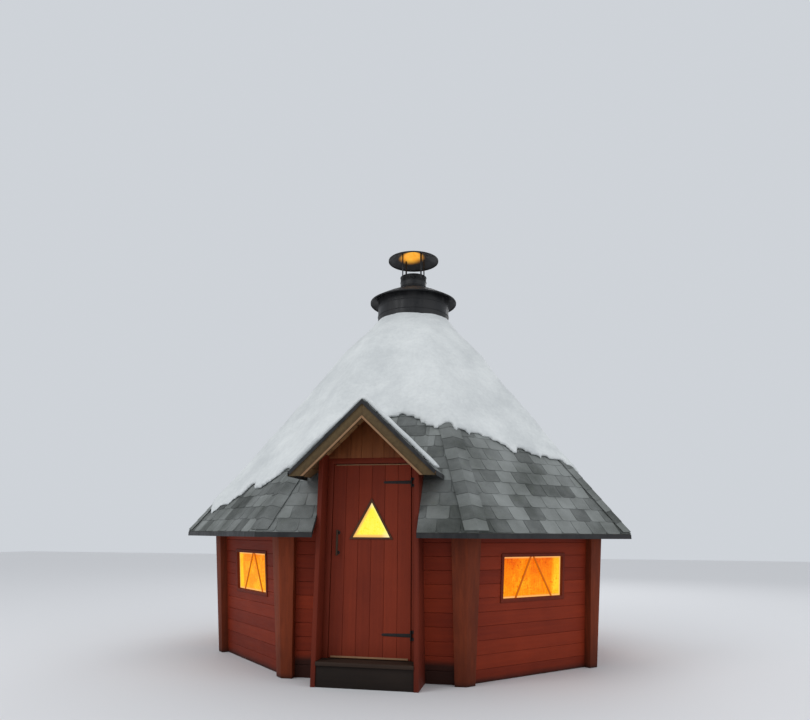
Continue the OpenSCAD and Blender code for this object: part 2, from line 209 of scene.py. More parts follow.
def soften(piece, width=0.003, segments=2):
    """Rounds the sharp edges and smooths the shading."""
    modify(piece, "BEVEL", width=width, segments=segments, limit_method="ANGLE",
           angle_limit=math.radians(28), use_clamp_overlap=True)
    alone(piece)
    bpy.ops.object.shade_smooth_by_angle(angle=math.radians(35))
    return piece


def cut(piece, point, normal):
    """Cuts off and closes what lies on the side that normal points to."""
    begin_edit(piece)
    bpy.ops.mesh.bisect(plane_co=point, plane_no=normal, use_fill=True, clear_outer=True)
    end_edit()
    return piece


def repeat(piece, count, step):
    """Lays copies of a board beside it, one step further each time."""
    return modify(piece, "ARRAY", count=count, use_relative_offset=False,
                  use_constant_offset=True, constant_offset_displace=step)


# %% [markdown]
# A V joint needs only the long edges of a board bevelled. They could be picked by hand, but a
# small test that picks them by their direction and place works for every board.


# %% Bevel chosen edges
def runs(axis, least=0.01, where=lambda start: True):
    """A test for edges along an axis, longer than least and starting where the place is right."""
    def test(edge):
        start, end = edge.verts[0].co, edge.verts[1].co
        return abs((start - end)["XYZ".index(axis)]) > least and where(start)
    return test


def bevel(piece, test, width, segments=2, profile=0.5):
    """Bevels only the edges that the test picks."""
    begin_edit(piece, "EDGE", test)
    bpy.ops.mesh.bevel(offset=width, segments=segments, profile=profile)
    end_edit()
    return piece


# %% [markdown]
# Openings and the snow need more than planes, so pieces are also cut with one another. What
# repeats is modelled once and copied, and each copy gets a mesh of its own.


# %% Cut with a tool, copy, move and join
def take_away(piece, tool, operation="DIFFERENCE", solver="EXACT"):
    """Cuts the piece with the tool, or joins or intersects them, and removes the tool."""
    modify(piece, "BOOLEAN", operation=operation, object=tool, solver=solver)
    bpy.data.objects.remove(tool)
    return piece


def twin(piece, name, matrix=Matrix()):
    """A copy with its own mesh, moved by a matrix."""
    copy = piece.copy()
    copy.data = piece.data.copy()
    copy.name = copy.data.name = name
    bpy.context.collection.objects.link(copy)
    copy.data.transform(matrix)
    return copy


def put(piece, matrix):
    """Moves a piece's mesh, so that its object stays at the origin."""
    piece.data.transform(matrix)
    return piece


def joined(name, pieces):
    """Makes one piece of several."""
    bpy.ops.object.select_all(action="DESELECT")
    for piece in pieces:
        piece.select_set(True)
    bpy.context.view_layer.objects.active = pieces[0]
    if len(pieces) > 1:
        bpy.ops.object.join()
    pieces[0].name = pieces[0].data.name = name
    return pieces[0]


# %% [markdown]
# Paint follows the boards, so each finished piece keeps two notes for its material: "made" is
# where a point was on the workbench, and "tone" is a random number for every loose board or tab.


# %% Notes for the paint
def note(piece, seed, back=Matrix(), shift=(0, 0, 0)):
    """Stores made and tone on the points. back turns the piece's place into its workbench place."""
    draw = random.Random(seed)
    mesh = bmesh.new()
    mesh.from_mesh(piece.data)
    made = mesh.verts.layers.float_vector.get("made") or mesh.verts.layers.float_vector.new("made")
    tone = mesh.verts.layers.float.get("tone") or mesh.verts.layers.float.new("tone")
    seen = set()
    for start in mesh.verts:
        if start in seen:
            continue
        value, group = draw.random(), [start]
        seen.add(start)
        while group:
            vert = group.pop()
            vert[tone] = value
            vert[made] = back @ vert.co + Vector(shift)
            for edge in vert.link_edges:
                other = edge.other_vert(vert)
                if other not in seen:
                    seen.add(other)
                    group.append(other)
    mesh.to_mesh(piece.data)
    mesh.free()
    return piece


def from_cad(name, node, width=0.003, seed=1, segments=2):
    """A copy of a CAD node with merged points, whole faces and rounded edges."""
    piece = twin(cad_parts[node], name)
    piece.parent = None
    for key in list(piece.keys()):
        del piece[key]
    piece.data.materials.clear()
    begin_edit(piece, "VERT")
    bpy.ops.mesh.remove_doubles(threshold=0.00005)
    bpy.ops.mesh.dissolve_limited(angle_limit=math.radians(0.5))
    bpy.ops.mesh.select_all(action="SELECT")
    bpy.ops.mesh.normals_make_consistent(inside=False)
    end_edit()
    return note(soften(piece, width, segments), seed)


def fit(piece, body, slot, paint, *nodes):
    """Hands a finished piece over: its body, its finish and the CAD nodes that it stands for."""
    piece.data.validate()
    piece.data.materials.clear()
    piece.data.materials.append(paint)
    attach(piece, body)
    if nodes:
        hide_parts(*nodes)
    print(piece.name, len(piece.data.polygons), "faces")
    return piece


# %% [markdown]
# ## Tools for paint and wood
# A material is a small tree of nodes. Reading it is easier as a formula, so this class wraps a
# node's output and lets it be added and multiplied. Each sum adds one Math node to the tree.


# %% Node formulas
class Value:
    """A node's output, or a number, that can be used in a formula."""

    def __init__(self, paint, socket):
        self.paint, self.socket = paint, socket

    def __add__(self, other):
        return self.paint.math("ADD", self, other)

    def __mul__(self, other):
        return self.paint.math("MULTIPLY", self, other)

    def __sub__(self, other):
        return self.paint.math("SUBTRACT", self, other)

    def __rsub__(self, other):
        return self.paint.math("SUBTRACT", other, self)

    def __gt__(self, other):
        return self.paint.math("GREATER_THAN", self, other)

    __radd__, __rmul__ = __add__, __mul__

    def between(self, low, high):
        """0 below low, 1 above high and smooth in between."""
        return self.paint.node("ShaderNodeMapRange", {"interpolation_type": "SMOOTHSTEP"},
                               {"Value": self, "From Min": low, "From Max": high})


# %% [markdown]
# A paint is one material while it is being mixed. It could be wired by hand in the shader
# editor, but the same few parts come back in every finish, so each gets a short name here:
# place, clouds, mix, bump.


# %% Paints and their parts
class Paint:
    """A material under construction: its node tree and its shader."""

    def __init__(self, name, roughness=0.6, **sockets):
        self.material = bpy.data.materials.new(name)
        self.material.use_nodes = True
        self.tree = self.material.node_tree
        self.tree.nodes.clear()
        self.shader = self.tree.nodes.new("ShaderNodeBsdfPrincipled")
        output = self.tree.nodes.new("ShaderNodeOutputMaterial")
        self.tree.links.new(self.shader.outputs[0], output.inputs[0])
        self.set("Roughness", roughness)
        for key, value in sockets.items():
            self.set(key.replace("_", " "), value)

    def put(self, target, value):
        """Links a value to a socket, or writes a number or colour into it."""
        if isinstance(value, Value):
            self.tree.links.new(value.socket, target)
        elif value is not None:
            colour = hasattr(target.default_value, "__len__") and len(target.default_value) == 4
            target.default_value = (*value, 1) if colour and len(value) == 3 else value

    def set(self, socket, value):
        self.put(self.shader.inputs[socket], value)

    def node(self, kind, settings=None, inputs=None, out=0):
        """Any node: its settings first, then the values or links of its sockets."""
        made = self.tree.nodes.new(kind)
        for key, value in (settings or {}).items():
            if key == "stops":
                ramp = made.color_ramp
                while len(ramp.elements) < len(value):
                    ramp.elements.new(0.5)
                for element, (place, colour) in zip(ramp.elements, value):
                    element.position, element.color = place, (*colour, 1)
            else:
                setattr(made, key, value)
        for key, value in (inputs or {}).items():
            self.put(made.inputs[key], value)
        return Value(self, made.outputs[out])

    def math(self, operation, a, b=None):
        return self.node("ShaderNodeMath", {"operation": operation}, {0: a, 1: b})

    def mix(self, share, a, b):
        """Colours a and b, mixed by a share from 0 to 1."""
        return self.node("ShaderNodeMix", {"data_type": "RGBA"}, {0: share, 6: a, 7: b}, out=2)

    def place(self):
        return self.node("ShaderNodeTexCoord", out="Object")

    def kept(self, name, out="Fac"):
        return self.node("ShaderNodeAttribute", {"attribute_name": name}, out=out)

    def scaled(self, place, sizes):
        return self.node("ShaderNodeVectorMath", {"operation": "MULTIPLY"}, {0: place, 1: sizes})

    def part(self, place, axis):
        return self.node("ShaderNodeSeparateXYZ", None, {0: place}, out=axis)

    def clouds(self, place, scale, detail=3, roughness=0.55):
        return self.node("ShaderNodeTexNoise", None, {"Vector": place, "Scale": scale,
                                                      "Detail": detail, "Roughness": roughness})

    def apart(self, a, b):
        """The distance between two points."""
        return self.node("ShaderNodeVectorMath", {"operation": "DISTANCE"}, {0: a, 1: b}, out="Value")

    def ramp(self, level, stops):
        """Turns a level from 0 to 1 into the colours of a ramp."""
        return self.node("ShaderNodeValToRGB", {"stops": stops}, {"Fac": level})

    def bump(self, height, distance):
        """Turns a height into relief of so many metres, on top of the relief before it."""
        node = self.tree.nodes.new("ShaderNodeBump")
        normal = self.shader.inputs["Normal"]
        self.put(node.inputs["Height"], height)
        node.inputs["Distance"].default_value = distance
        if normal.is_linked:
            self.tree.links.new(normal.links[0].from_socket, node.inputs["Normal"])
        self.tree.links.new(node.outputs[0], normal)


# %% [markdown]
# ## Painted and bare timber
# All the timber shares one build-up. Long stretched noise gives the grain, finer along one axis;
# each board is a little lighter or darker than the next; a slow pattern of damp darkens some
# places; and the lowest part is splashed. Some pieces also get a near-black band of painted shade
# at their foot, where they meet the ground. Paint hides most of the grain's colour but
# not its relief.


# %% Timber
GRAIN_DEPTH, GRAIN_LONG, GRAIN_FINE = 0.0006, 1.6, 34
# Near-black colour of the painted shade at the foot of the walls
FOOT_SHADE = (0.012, 0.008, 0.006)


def timber(name, light, dark, grain_axis="X", grain=0.35, tones=0.25, roughness=0.62,
           splash=0.25, foot_shade_top=0.0, lit=None):
    """Wood or painted wood in two colours, its grain along one axis of the workbench, with an optional
    band of painted shade at the foot and an optional painted glow.
    """
    paint = Paint(name, roughness, Specular_IOR_Level=0.15)
    made, tone, world = paint.kept("made", "Vector"), paint.kept("tone"), paint.place()
    sizes = [GRAIN_LONG if axis == grain_axis else GRAIN_FINE for axis in "XYZ"]
    other_log = paint.node("ShaderNodeCombineXYZ", None, {0: tone * 37, 1: tone * 91, 2: tone * 53})
    drift = paint.node("ShaderNodeVectorMath", {"operation": "MULTIPLY_ADD"},
                       {0: made, 1: sizes, 2: other_log})
    lines = paint.clouds(drift, 1.0, 5, 0.62)
    fibres = paint.clouds(paint.scaled(drift, (3, 3, 3)), 1.3, 3, 0.7)
    patches = paint.clouds(world, 1.7, 4, 0.6)
    height = paint.part(world, "Z")
    shade = lines * grain + tone * tones + patches * 0.45 + (0.28 - grain / 2 - tones / 2)
    colour = paint.mix(shade.between(0.15, 0.85), dark, light)
    wet = (1 - (height + patches * 0.3 - 0.15).between(0.0, 0.42)) * splash
    colour = paint.mix(wet, colour, [0.35 * c for c in dark])
    # Painted shade: a near-black band at the foot, up to the given height
    if foot_shade_top:
        band = 1 - (height + patches * 0.03).between(foot_shade_top - 0.02, foot_shade_top + 0.045)
        colour = paint.mix(band * 0.88, colour, FOOT_SHADE)
    # Painted glow, as if the piece were lit through from behind
    if lit:
        paint.set("Emission Color", paint.mix(lines, [0.6 * c for c in lit], lit))
        paint.set("Emission Strength", 1.0)
    paint.set("Base Color", colour)
    paint.set("Roughness", fibres * 0.25 + (roughness - 0.12))
    paint.bump(lines, GRAIN_DEPTH * 1.5)
    paint.bump(fibres, GRAIN_DEPTH * 0.6)
    return paint.material


# %% [markdown]
# Each paint and wood is then a light and a dark colour. The walls' foot gets a near-black band
# of painted shade, which reaches higher on the front below the door, and the corner boards,
# which stand proud, are browner and more worn than the walls.

# %% Paints and woods
RED, DEEP_RED = (0.280, 0.034, 0.010), (0.140, 0.015, 0.006)
# Painted shade at the foot: 3 cm on the walls, 17 cm on the front below the door, 2 cm on the corner
# boards
WALL_PAINT = timber("wall_paint", RED, DEEP_RED, foot_shade_top=0.030)
FRONT_PAINT = timber("front_paint", RED, DEEP_RED, foot_shade_top=0.17)
CORNER_PAINT = timber("corner_paint", (0.250, 0.046, 0.014), (0.105, 0.020, 0.008), "Z",
                      grain=0.6, splash=0.4, foot_shade_top=0.020)
TRIM_PAINT = timber("trim_paint", (0.205, 0.030, 0.012), (0.100, 0.014, 0.007), "Z")
DOOR_PAINT = timber("door_paint", (0.240, 0.034, 0.013), (0.120, 0.016, 0.008), "Z", splash=0.35)
GABLE_WOOD = timber("gable_wood", (0.300, 0.105, 0.038), (0.150, 0.045, 0.018), "Z",
                    grain=0.7, splash=0)
BARGE_WOOD = timber("barge_wood", (0.125, 0.085, 0.038), (0.060, 0.040, 0.022),
                    grain=0.6, splash=0)
BATTEN_WOOD = timber("batten_wood", (0.300, 0.175, 0.095), (0.180, 0.095, 0.050),
                     grain=0.5, splash=0)
INNER_WOOD = timber("inner_wood", (0.420, 0.235, 0.105), (0.220, 0.110, 0.050),
                    grain=0.7, splash=0, roughness=0.5)
FLOOR_WOOD = timber("floor_wood", (0.330, 0.205, 0.110), (0.170, 0.095, 0.050),
                    grain=0.6, tones=0.5, splash=0)
SILL_WOOD = timber("sill_wood", (0.050, 0.030, 0.021), (0.024, 0.015, 0.011),
                   grain=0.6, splash=0.2)
GROUND_WOOD = timber("ground_wood", (0.032, 0.021, 0.016), (0.013, 0.009, 0.007),
                     grain=0.5, splash=0.5)
print(len(bpy.data.materials), "kinds of timber")

# %% [markdown]
# ## The leaning walls
# Each wall is a flat panel of planed boards lying on each other, with a small V at every joint.
# One board is a block with its four long edges bevelled. An array stacks it, the window is cut
# out with a Boolean, and planes trim the foot level with the ground and the top to the roof.
# Seven walls are copies of that one panel, turned round the hut.

# %% One wall panel
BOARD, JOINT = 0.1165, 0.0008
BOARD_ROWS, BELOW_GROUND = 14, 0.010


def board_stack(name, low_x, high_x):
    """Wall boards on the workbench: x across, y inwards, z up the wall."""
    stack = block(name, (low_x, 0, -BELOW_GROUND), (high_x, WALL_T, -BELOW_GROUND + BOARD - JOINT))
    bevel(stack, runs("X"), 0.0055, profile=0.6)
    return repeat(stack, BOARD_ROWS, (0, 0, BOARD))


def trim_wall(wall):
    """Stands the boards up and cuts them level at the ground and under the roof."""
    put(wall, WALL)
    cut(wall, (0, 0, 0), (0, 0, -1))
    under = ROOF @ Vector((0, 0, -ROOF_T - SEAT))
    return cut(wall, under, (0, -math.sin(PITCH), math.cos(PITCH)))


panel = board_stack("wall", -PANEL_W / 2, PANEL_W / 2)
opening = block("opening", (-PANE_W / 2 - FRAME_BAR, -0.1, PANE_LOW - FRAME_BAR),
                (PANE_W / 2 + FRAME_BAR, 0.1, PANE_HIGH + FRAME_BAR))
take_away(panel, opening)
trim_wall(panel)
top = max(v.co.z for v in panel.data.vertices)
print("panel", len(panel.data.polygons), "faces, top", round(top, 3))

# %% Seven walls and the two strips beside the door
WALLS = ["wall_right_front", "wall_right", "wall_right_back", "wall_back",
         "wall_left_back", "wall_left", "wall_left_front"]
for k, node in enumerate(WALLS, 1):
    wall = note(twin(panel, "boards_" + node), k, WALL.inverted(), (3.7 * k, 0, 0))
    put(wall, side(k))
    fit(wall, "hut", "red_paint", WALL_PAINT, node)
bpy.data.objects.remove(panel)
for sign, node in ((-1, "wall_front_left"), (1, "wall_front_right")):
    ends = sorted((sign * (BOX_HALF + SEAT), sign * PANEL_W / 2))
    strip = trim_wall(board_stack("boards_" + node, *ends))
    fit(note(strip, 20 + sign, WALL.inverted()), "hut", "red_paint", FRONT_PAINT, node)

# %% [markdown]
# ## Corner boards
# The panels are rectangles that lean outwards, so the gaps between them widen towards the top.
# Tapered boards close them. Their CAD solids already have the right form, so they are copied,
# their loose triangles are merged, and a small bevel rounds the edges as a plane would.

# %% Corners, door box and base
fit(from_cad("corner_timbers", "corner_boards", 0.004, 31), "hut", "trim_paint", CORNER_PAINT,
    "corner_boards")
for paint, slot, nodes in (
        (TRIM_PAINT, "trim_paint", ("box_side_left", "box_side_right", "door_frame")),
        (SILL_WOOD, "brown_timber", ("door_step",)),
        (GROUND_WOOD, "dark_timber", ("step_riser", "base_frame", "floor_joists")),
        (INNER_WOOD, "bare_timber", ("hip_rafters", "crown_ring"))):
    for node in nodes:
        fit(from_cad("timber_" + node, node, 0.003, len(node)), "hut", slot, paint, node)

# %% [markdown]
# ## Windows
# A window is a flat frame round a frosted pane. The frame starts as a plane: it is inset, the
# middle is deleted, and the rim is thickened.

# %% Window frames
bpy.ops.object.select_all(action="DESELECT")
bpy.ops.mesh.primitive_plane_add(size=1, location=(0, -FRAME_PROUD, PANE_MID),
                                 rotation=(math.pi / 2, 0, 0))
bpy.context.object.scale = (PANE_W + 2 * FRAME_BAR, PANE_H + 2 * FRAME_BAR, 1)
rim = newest("window_rim")
begin_edit(rim)
bpy.ops.mesh.inset(thickness=FRAME_BAR)
bpy.ops.mesh.delete(type="FACE")
end_edit()
modify(rim, "SOLIDIFY", thickness=FRAME_PROUD + WALL_T, offset=-1)
soften(rim, 0.004, 3)
rims = [put(note(twin(rim, "rim"), 40 + k), side(k) @ WALL) for k in range(1, SIDES)]
bpy.data.objects.remove(rim)
fit(joined("window_rims", rims), "hut", "trim_paint", TRIM_PAINT, "window_frames")

# %% [markdown]
# Two slim bars lean together before each pane like the legs of a letter A. They are thin blocks,
# sheared by moving their ends. They were put up by eye, so each pair stands a little
# differently. The frosted pane behind lights them through, and this light is painted on the bars as a
# glow.

# %% Bars of the windows
BAR_W, BAR_OUT, BAR_BEHIND, BAR_LAP = 0.020, 0.009, 0.0005, 0.002
TOP_SPREAD, FOOT_SPREAD = 0.016, 0.228
BAR_TOPS = (0, -0.008, 0.010, -0.005, 0.006, -0.012, 0.009, 0.036)
BAR_FEET = (0, 0.023, 0.004, 0.012, -0.008, 0.006, -0.014, 0.010)
bars = []
for k in range(1, SIDES):
    for sign in (-1, 1):
        bar = block("bar", (-BAR_W / 2, PANE_FACE - BAR_OUT, PANE_LOW - BAR_LAP),
                    (BAR_W / 2, PANE_FACE - BAR_BEHIND, PANE_HIGH + BAR_LAP))
        begin_edit(bar, "VERT", lambda v: v.co.z > PANE_MID)
        bpy.ops.transform.translate(value=(BAR_TOPS[k] + sign * TOP_SPREAD, 0, 0))
        bpy.ops.mesh.select_all(action="INVERT")
        bpy.ops.transform.translate(value=(BAR_FEET[k] + sign * FOOT_SPREAD, 0, 0))
        end_edit()
        bars.append(put(note(soften(bar, 0.002), 50 + k), side(k) @ WALL))
# The bars' paint carries a painted glow, standing in for the pane's light behind them
BAR_PAINT_AND_GLOW = timber("bar_paint_and_glow", (0.160, 0.040, 0.008), (0.090, 0.022, 0.005), "Z", splash=0,
                   lit=(0.600, 0.120, 0.0))
fit(joined("window_bars", bars), "hut", "trim_paint", BAR_PAINT_AND_GLOW)

# %% [markdown]
# ## Glowing panes
# The panes are rough with frost and a fire burns behind them, so each looks lit through, not
# evenly bright. The glow is an emission. A level between 0 and 1 is built up from drifting
# clouds, frost crystals and fine streaks, and a colour ramp turns it from deep orange to pale
# yellow. The side away from the door catches a brighter strip, and the edges are pale too.


# %% Frost on a lit pane
def glow_level(paint, place, scale):
    """Frost on a lit pane: clouds, crystals and streaks as one number."""
    slow = paint.clouds(place, 6, 3, 0.6)
    fine = paint.clouds(place, scale * 1.6, 4, 0.7)
    specks = paint.clouds(place, scale * 1.1, 2, 0.5).between(0.56, 0.68) * slow.between(0.42, 0.62)
    crystals = paint.node("ShaderNodeTexVoronoi", {"feature": "DISTANCE_TO_EDGE"},
                          {"Vector": place, "Scale": scale, "Randomness": 1.0})
    streaks = paint.clouds(paint.scaled(place, (70, 70, 9)), 1, 3, 0.6)
    paint.bump(fine + crystals * 2, 0.0015)
    veins = 1 - crystals.between(0.0, 0.10)
    return slow * 0.75 + fine * 0.45 + streaks * 0.3 - veins * 0.16 - specks * 0.34


# %% Window panes
WINDOW_GLOW = Paint("window_glow", 0.5, Emission_Strength=1.0, Specular_IOR_Level=0.1)
made = WINDOW_GLOW.kept("made", "Vector")
across, up_wall = WINDOW_GLOW.part(made, "X"), WINDOW_GLOW.part(made, "Z")
level = glow_level(WINDOW_GLOW, made, 55) + WINDOW_GLOW.kept("tone") * 0.24 - 0.36
level = level - (up_wall - PANE_MID) * 0.6
level += across.between(0.245, 0.300) * 0.36 * (up_wall - PANE_LOW).between(-0.06, 0.12)
border = WINDOW_GLOW.math("MAXIMUM", WINDOW_GLOW.math("ABSOLUTE", across) - PANE_W / 2,
                          WINDOW_GLOW.math("ABSOLUTE", up_wall - PANE_MID) - PANE_H / 2)
EMBER = [(0.02, (0.50, 0.060, 0.0)), (0.20, (0.88, 0.125, 0.0)),
         (0.46, (0.93, 0.285, 0.002)), (0.80, (0.97, 0.600, 0.024))]
PALE_EDGE = (1.0, 0.50, 0.16)
glow = WINDOW_GLOW.ramp(level, EMBER)
glow = WINDOW_GLOW.mix(border.between(-0.022, -0.006) * 0.8, glow, PALE_EDGE)
WINDOW_GLOW.set("Emission Color", glow)
WINDOW_GLOW.set("Base Color", WINDOW_GLOW.mix(0.12, (0.02, 0.006, 0.001), glow))
PANE_GAP, BACK_SIDE = 0.0005, 4
sheet = block("sheet", (-PANE_W / 2 + PANE_GAP, PANE_FACE, PANE_LOW + PANE_GAP),
              (PANE_W / 2 - PANE_GAP, PANE_FACE + PANE_T, PANE_HIGH - PANE_GAP))
soften(sheet, 0.001)
sheets = []
for k in range(1, SIDES):
    away = Matrix.Diagonal((-1 if k > BACK_SIDE else 1, 1, 1, 1))
    sheets.append(put(note(twin(sheet, "sheet"), 600 + k, away, (0, 0.9 * k, 0)), side(k) @ WALL))
bpy.data.objects.remove(sheet)
fit(joined("frosted_sheets", sheets), "hut", "lit_pane", WINDOW_GLOW.material, "window_panes")

# %% [markdown]
# The triangle in the door is clearer and brighter. Its shape is right in the CAD model, so that
# solid stays and only gets its finish: yellow in the middle, a warmer band inside the left and
# the lower edge, where the thickness of the door lights up, and paler corners.

# %% Door pane
DOOR_GLOW = Paint("door_glow", 0.5, Emission_Strength=1.0, Specular_IOR_Level=0.1)
place = DOOR_GLOW.place()
across, height = DOOR_GLOW.part(place, "X"), DOOR_GLOW.part(place, "Z")
slant = math.hypot(TRI_HALF, TRI_H)
drop = (height - TRI_Z) * (TRI_HALF / slant)
from_left = (across + TRI_HALF) * (TRI_H / slant) - drop
from_right = (TRI_HALF - across) * (TRI_H / slant) - drop
warm = DOOR_GLOW.math("MINIMUM", from_left - 0.006, height - (TRI_Z + 0.012))
warm = 1 - warm.between(0.0, 0.020)
pale = (1 - from_right.between(0.0, 0.030)) * 0.5
for x, z, near, far in ((TRI_HALF, TRI_Z, 0.02, 0.10), (0, TRI_Z + TRI_H, 0.02, 0.07)):
    from_corner = DOOR_GLOW.apart(DOOR_GLOW.scaled(place, (1, 0, 1)), (x, 0, z))
    pale = DOOR_GLOW.math("MAXIMUM", pale, 1 - from_corner.between(near, far))
YELLOW = [(0.05, (0.90, 0.50, 0.012)), (0.40, (0.95, 0.80, 0.035)), (0.85, (1.0, 0.92, 0.12))]
glow = DOOR_GLOW.ramp(glow_level(DOOR_GLOW, place, 70) - 0.10, YELLOW)
glow = DOOR_GLOW.mix(warm * 0.9, glow, (0.88, 0.48, 0.14))
glow = DOOR_GLOW.mix(pale * 0.8, glow, (1.0, 0.90, 0.45))
DOOR_GLOW.set("Emission Color", glow)
DOOR_GLOW.set("Base Color", DOOR_GLOW.mix(0.12, (0.02, 0.012, 0.001), glow))
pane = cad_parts["door_pane"]
pane.data.materials.clear()
pane.data.materials.append(DOOR_GLOW.material)
print("panes lit:", len(sheets), "windows and", pane.name)

# %% [markdown]
# ## The door
# The leaf is six upright boards. As on the walls, one board is bevelled and repeated, and then
# the triangle for the pane is cut through with a three-sided prism. A mitred trim lies round the
# pane, and thin iron straps carry the leaf on two pins.

# %% Leaf and trim
LEAF_BOARDS = 6
LEAF_BOARD = 2 * LEAF_HALF / LEAF_BOARDS
leaf = block("door_boards", (-LEAF_HALF, -LEAF_FRONT, LEAF_Z),
             (-LEAF_HALF + LEAF_BOARD - JOINT, -LEAF_FRONT + LEAF_T, LEAF_Z + LEAF_H))
bevel(leaf, runs("Z", 0.1), 0.005, profile=0.6)
repeat(leaf, LEAF_BOARDS, (LEAF_BOARD, 0, 0))
bpy.ops.object.select_all(action="DESELECT")
bpy.ops.mesh.primitive_cylinder_add(vertices=3, radius=1, depth=0.3, location=(0, -LEAF_FRONT, 0),
                                    rotation=(math.pi / 2, 0, 0))
prism = newest("prism")
corners = {(round(v.co.x, 3), round(v.co.z, 3)) for v in prism.data.vertices}
top_first = sorted(corners, key=lambda c: (-c[1], c[0]))
targets = dict(zip(top_first, [(0, TRI_Z + TRI_H), (-TRI_HALF, TRI_Z), (TRI_HALF, TRI_Z)]))
for vert in prism.data.vertices:
    vert.co.x, vert.co.z = targets[(round(vert.co.x, 3), round(vert.co.z, 3))]
take_away(leaf, prism)
fit(note(leaf, 60), "door", "red_paint", DOOR_PAINT, "door_leaf")
TRI_WOOD = timber("triangle_wood", (0.110, 0.050, 0.028), (0.060, 0.026, 0.016), grain=0.4, splash=0)
fit(from_cad("pane_trim", "door_pane_trim", 0.002, 61), "door", "bare_timber", TRI_WOOD,
    "door_pane_trim")

# %% [markdown]
# ## Hinges and pull
# Pins, eyes, screws and the turned pull are all round, so they are spun: a profile is drawn
# point by point by extruding one vertex, and then turned about the upright axis.


# %% Turned and sheet-metal shapes
def lathe(name, profile, steps=48):
    """Draws a profile of (radius, height) points by extruding one vertex, and spins it round Z.

    A solid's profile starts and ends on the axis, and a ring's ends on its first point.
    """
    bpy.ops.object.select_all(action="DESELECT")
    bpy.ops.mesh.primitive_plane_add(size=0.001)
    piece = bpy.context.object
    begin_edit(piece, "VERT")
    bpy.ops.mesh.merge(type="CENTER")
    radius, height = profile[0]
    bpy.ops.transform.translate(value=(radius, 0, height))
    for (r0, z0), (r1, z1) in zip(profile, profile[1:]):
        bpy.ops.mesh.extrude_region_move(TRANSFORM_OT_translate={"value": (r1 - r0, 0, z1 - z0)})
    bpy.ops.mesh.select_all(action="SELECT")
    bpy.ops.mesh.spin(steps=steps, angle=2 * math.pi, center=(0, 0, 0), axis=(0, 0, 1))
    bpy.ops.mesh.select_all(action="SELECT")
    bpy.ops.mesh.remove_doubles(threshold=0.00002)
    bpy.ops.mesh.normals_make_consistent(inside=False)
    end_edit()
    alone(piece)
    bpy.ops.object.shade_smooth_by_angle(angle=math.radians(35))
    return newest(name)


def dome(name, radius, height):
    """A low screw or rivet head standing on z = 0."""
    turns = [(radius * math.sin(a), height * math.cos(a)) for a in (0.0, 0.5, 1.0, 1.4, math.pi / 2)]
    return lathe(name, [*turns, (radius, -0.0006), (0, -0.0006)], steps=12)


# %% [markdown]
# An iron strap is a flat bar that tapers to a rounded point and wraps round the pin as an eye.
# It starts as a block: the far end is narrowed, the edges are bevelled, and low domed screws are
# set along it.

# %% Straps and pins
IRON = Paint("black_iron", 0.5, Metallic=0.7)
grime = IRON.clouds(IRON.place(), 60, 4, 0.7)
stained = IRON.mix(grime.between(0.5, 0.8), (0.022, 0.021, 0.021), (0.070, 0.036, 0.022))
IRON.set("Base Color", stained)
IRON.set("Roughness", grime * 0.35 + 0.32)
IRON.bump(grime, 0.0004)
HINGE_X, HINGE_Y = LEAF_HALF + 0.0025, -LEAF_FRONT - 0.008
STRAP_L, STRAP_H, STRAP_T, STRAP_IN = 0.240, 0.030, 0.003, 0.180
EYE_IN, EYE_EDGE, EYE_OUT, EYE_ROUND = 0.0042, 0.0072, 0.008, 0.0008
EYE = [(EYE_IN, 0), (EYE_EDGE, 0), (EYE_OUT, EYE_ROUND), (EYE_OUT, STRAP_H - EYE_ROUND),
       (EYE_EDGE, STRAP_H), (EYE_IN, STRAP_H), (EYE_IN, 0)]
# Turns a spun piece's upright axis out of the front
OUT_OF_FRONT = Matrix.Rotation(math.pi / 2, 4, "X")
straps, screw = [], dome("screw", 0.0055, 0.0022)
for z in (LEAF_Z + STRAP_IN, LEAF_Z + LEAF_H - STRAP_IN):
    strap = block("strap", (HINGE_X - STRAP_L, -LEAF_FRONT - STRAP_T, z),
                  (HINGE_X, -LEAF_FRONT, z + STRAP_H))
    begin_edit(strap, "FACE", lambda f: f.normal.x < -0.9)
    bpy.ops.transform.resize(value=(1, 1, 0.72))
    bpy.ops.mesh.extrude_region_move(TRANSFORM_OT_translate={"value": (-0.014, 0, 0)})
    bpy.ops.transform.resize(value=(1, 1, 0.45))
    end_edit()
    straps.append(soften(strap, 0.001))
    straps.append(put(lathe("eye", EYE, 24), Matrix.Translation((HINGE_X, HINGE_Y, z))))
    for x in (0.05, 0.13, 0.21):
        spot = Matrix.Translation((HINGE_X - x, -LEAF_FRONT - STRAP_T, z + STRAP_H / 2))
        straps.append(twin(screw, "screw", spot @ OUT_OF_FRONT))
bpy.data.objects.remove(screw)
fit(note(joined("iron_straps", straps), 70), "door", "black_iron", IRON.material, "hinge_straps")
fit(from_cad("iron_pins", "hinge_plates", 0.0008, 71, 1), "hut", "black_iron", IRON.material,
    "hinge_plates")

# %% [markdown]
# The pull is a turned wooden bar on two iron posts. Only the lower half of its profile is drawn,
# and the upper half mirrors it.

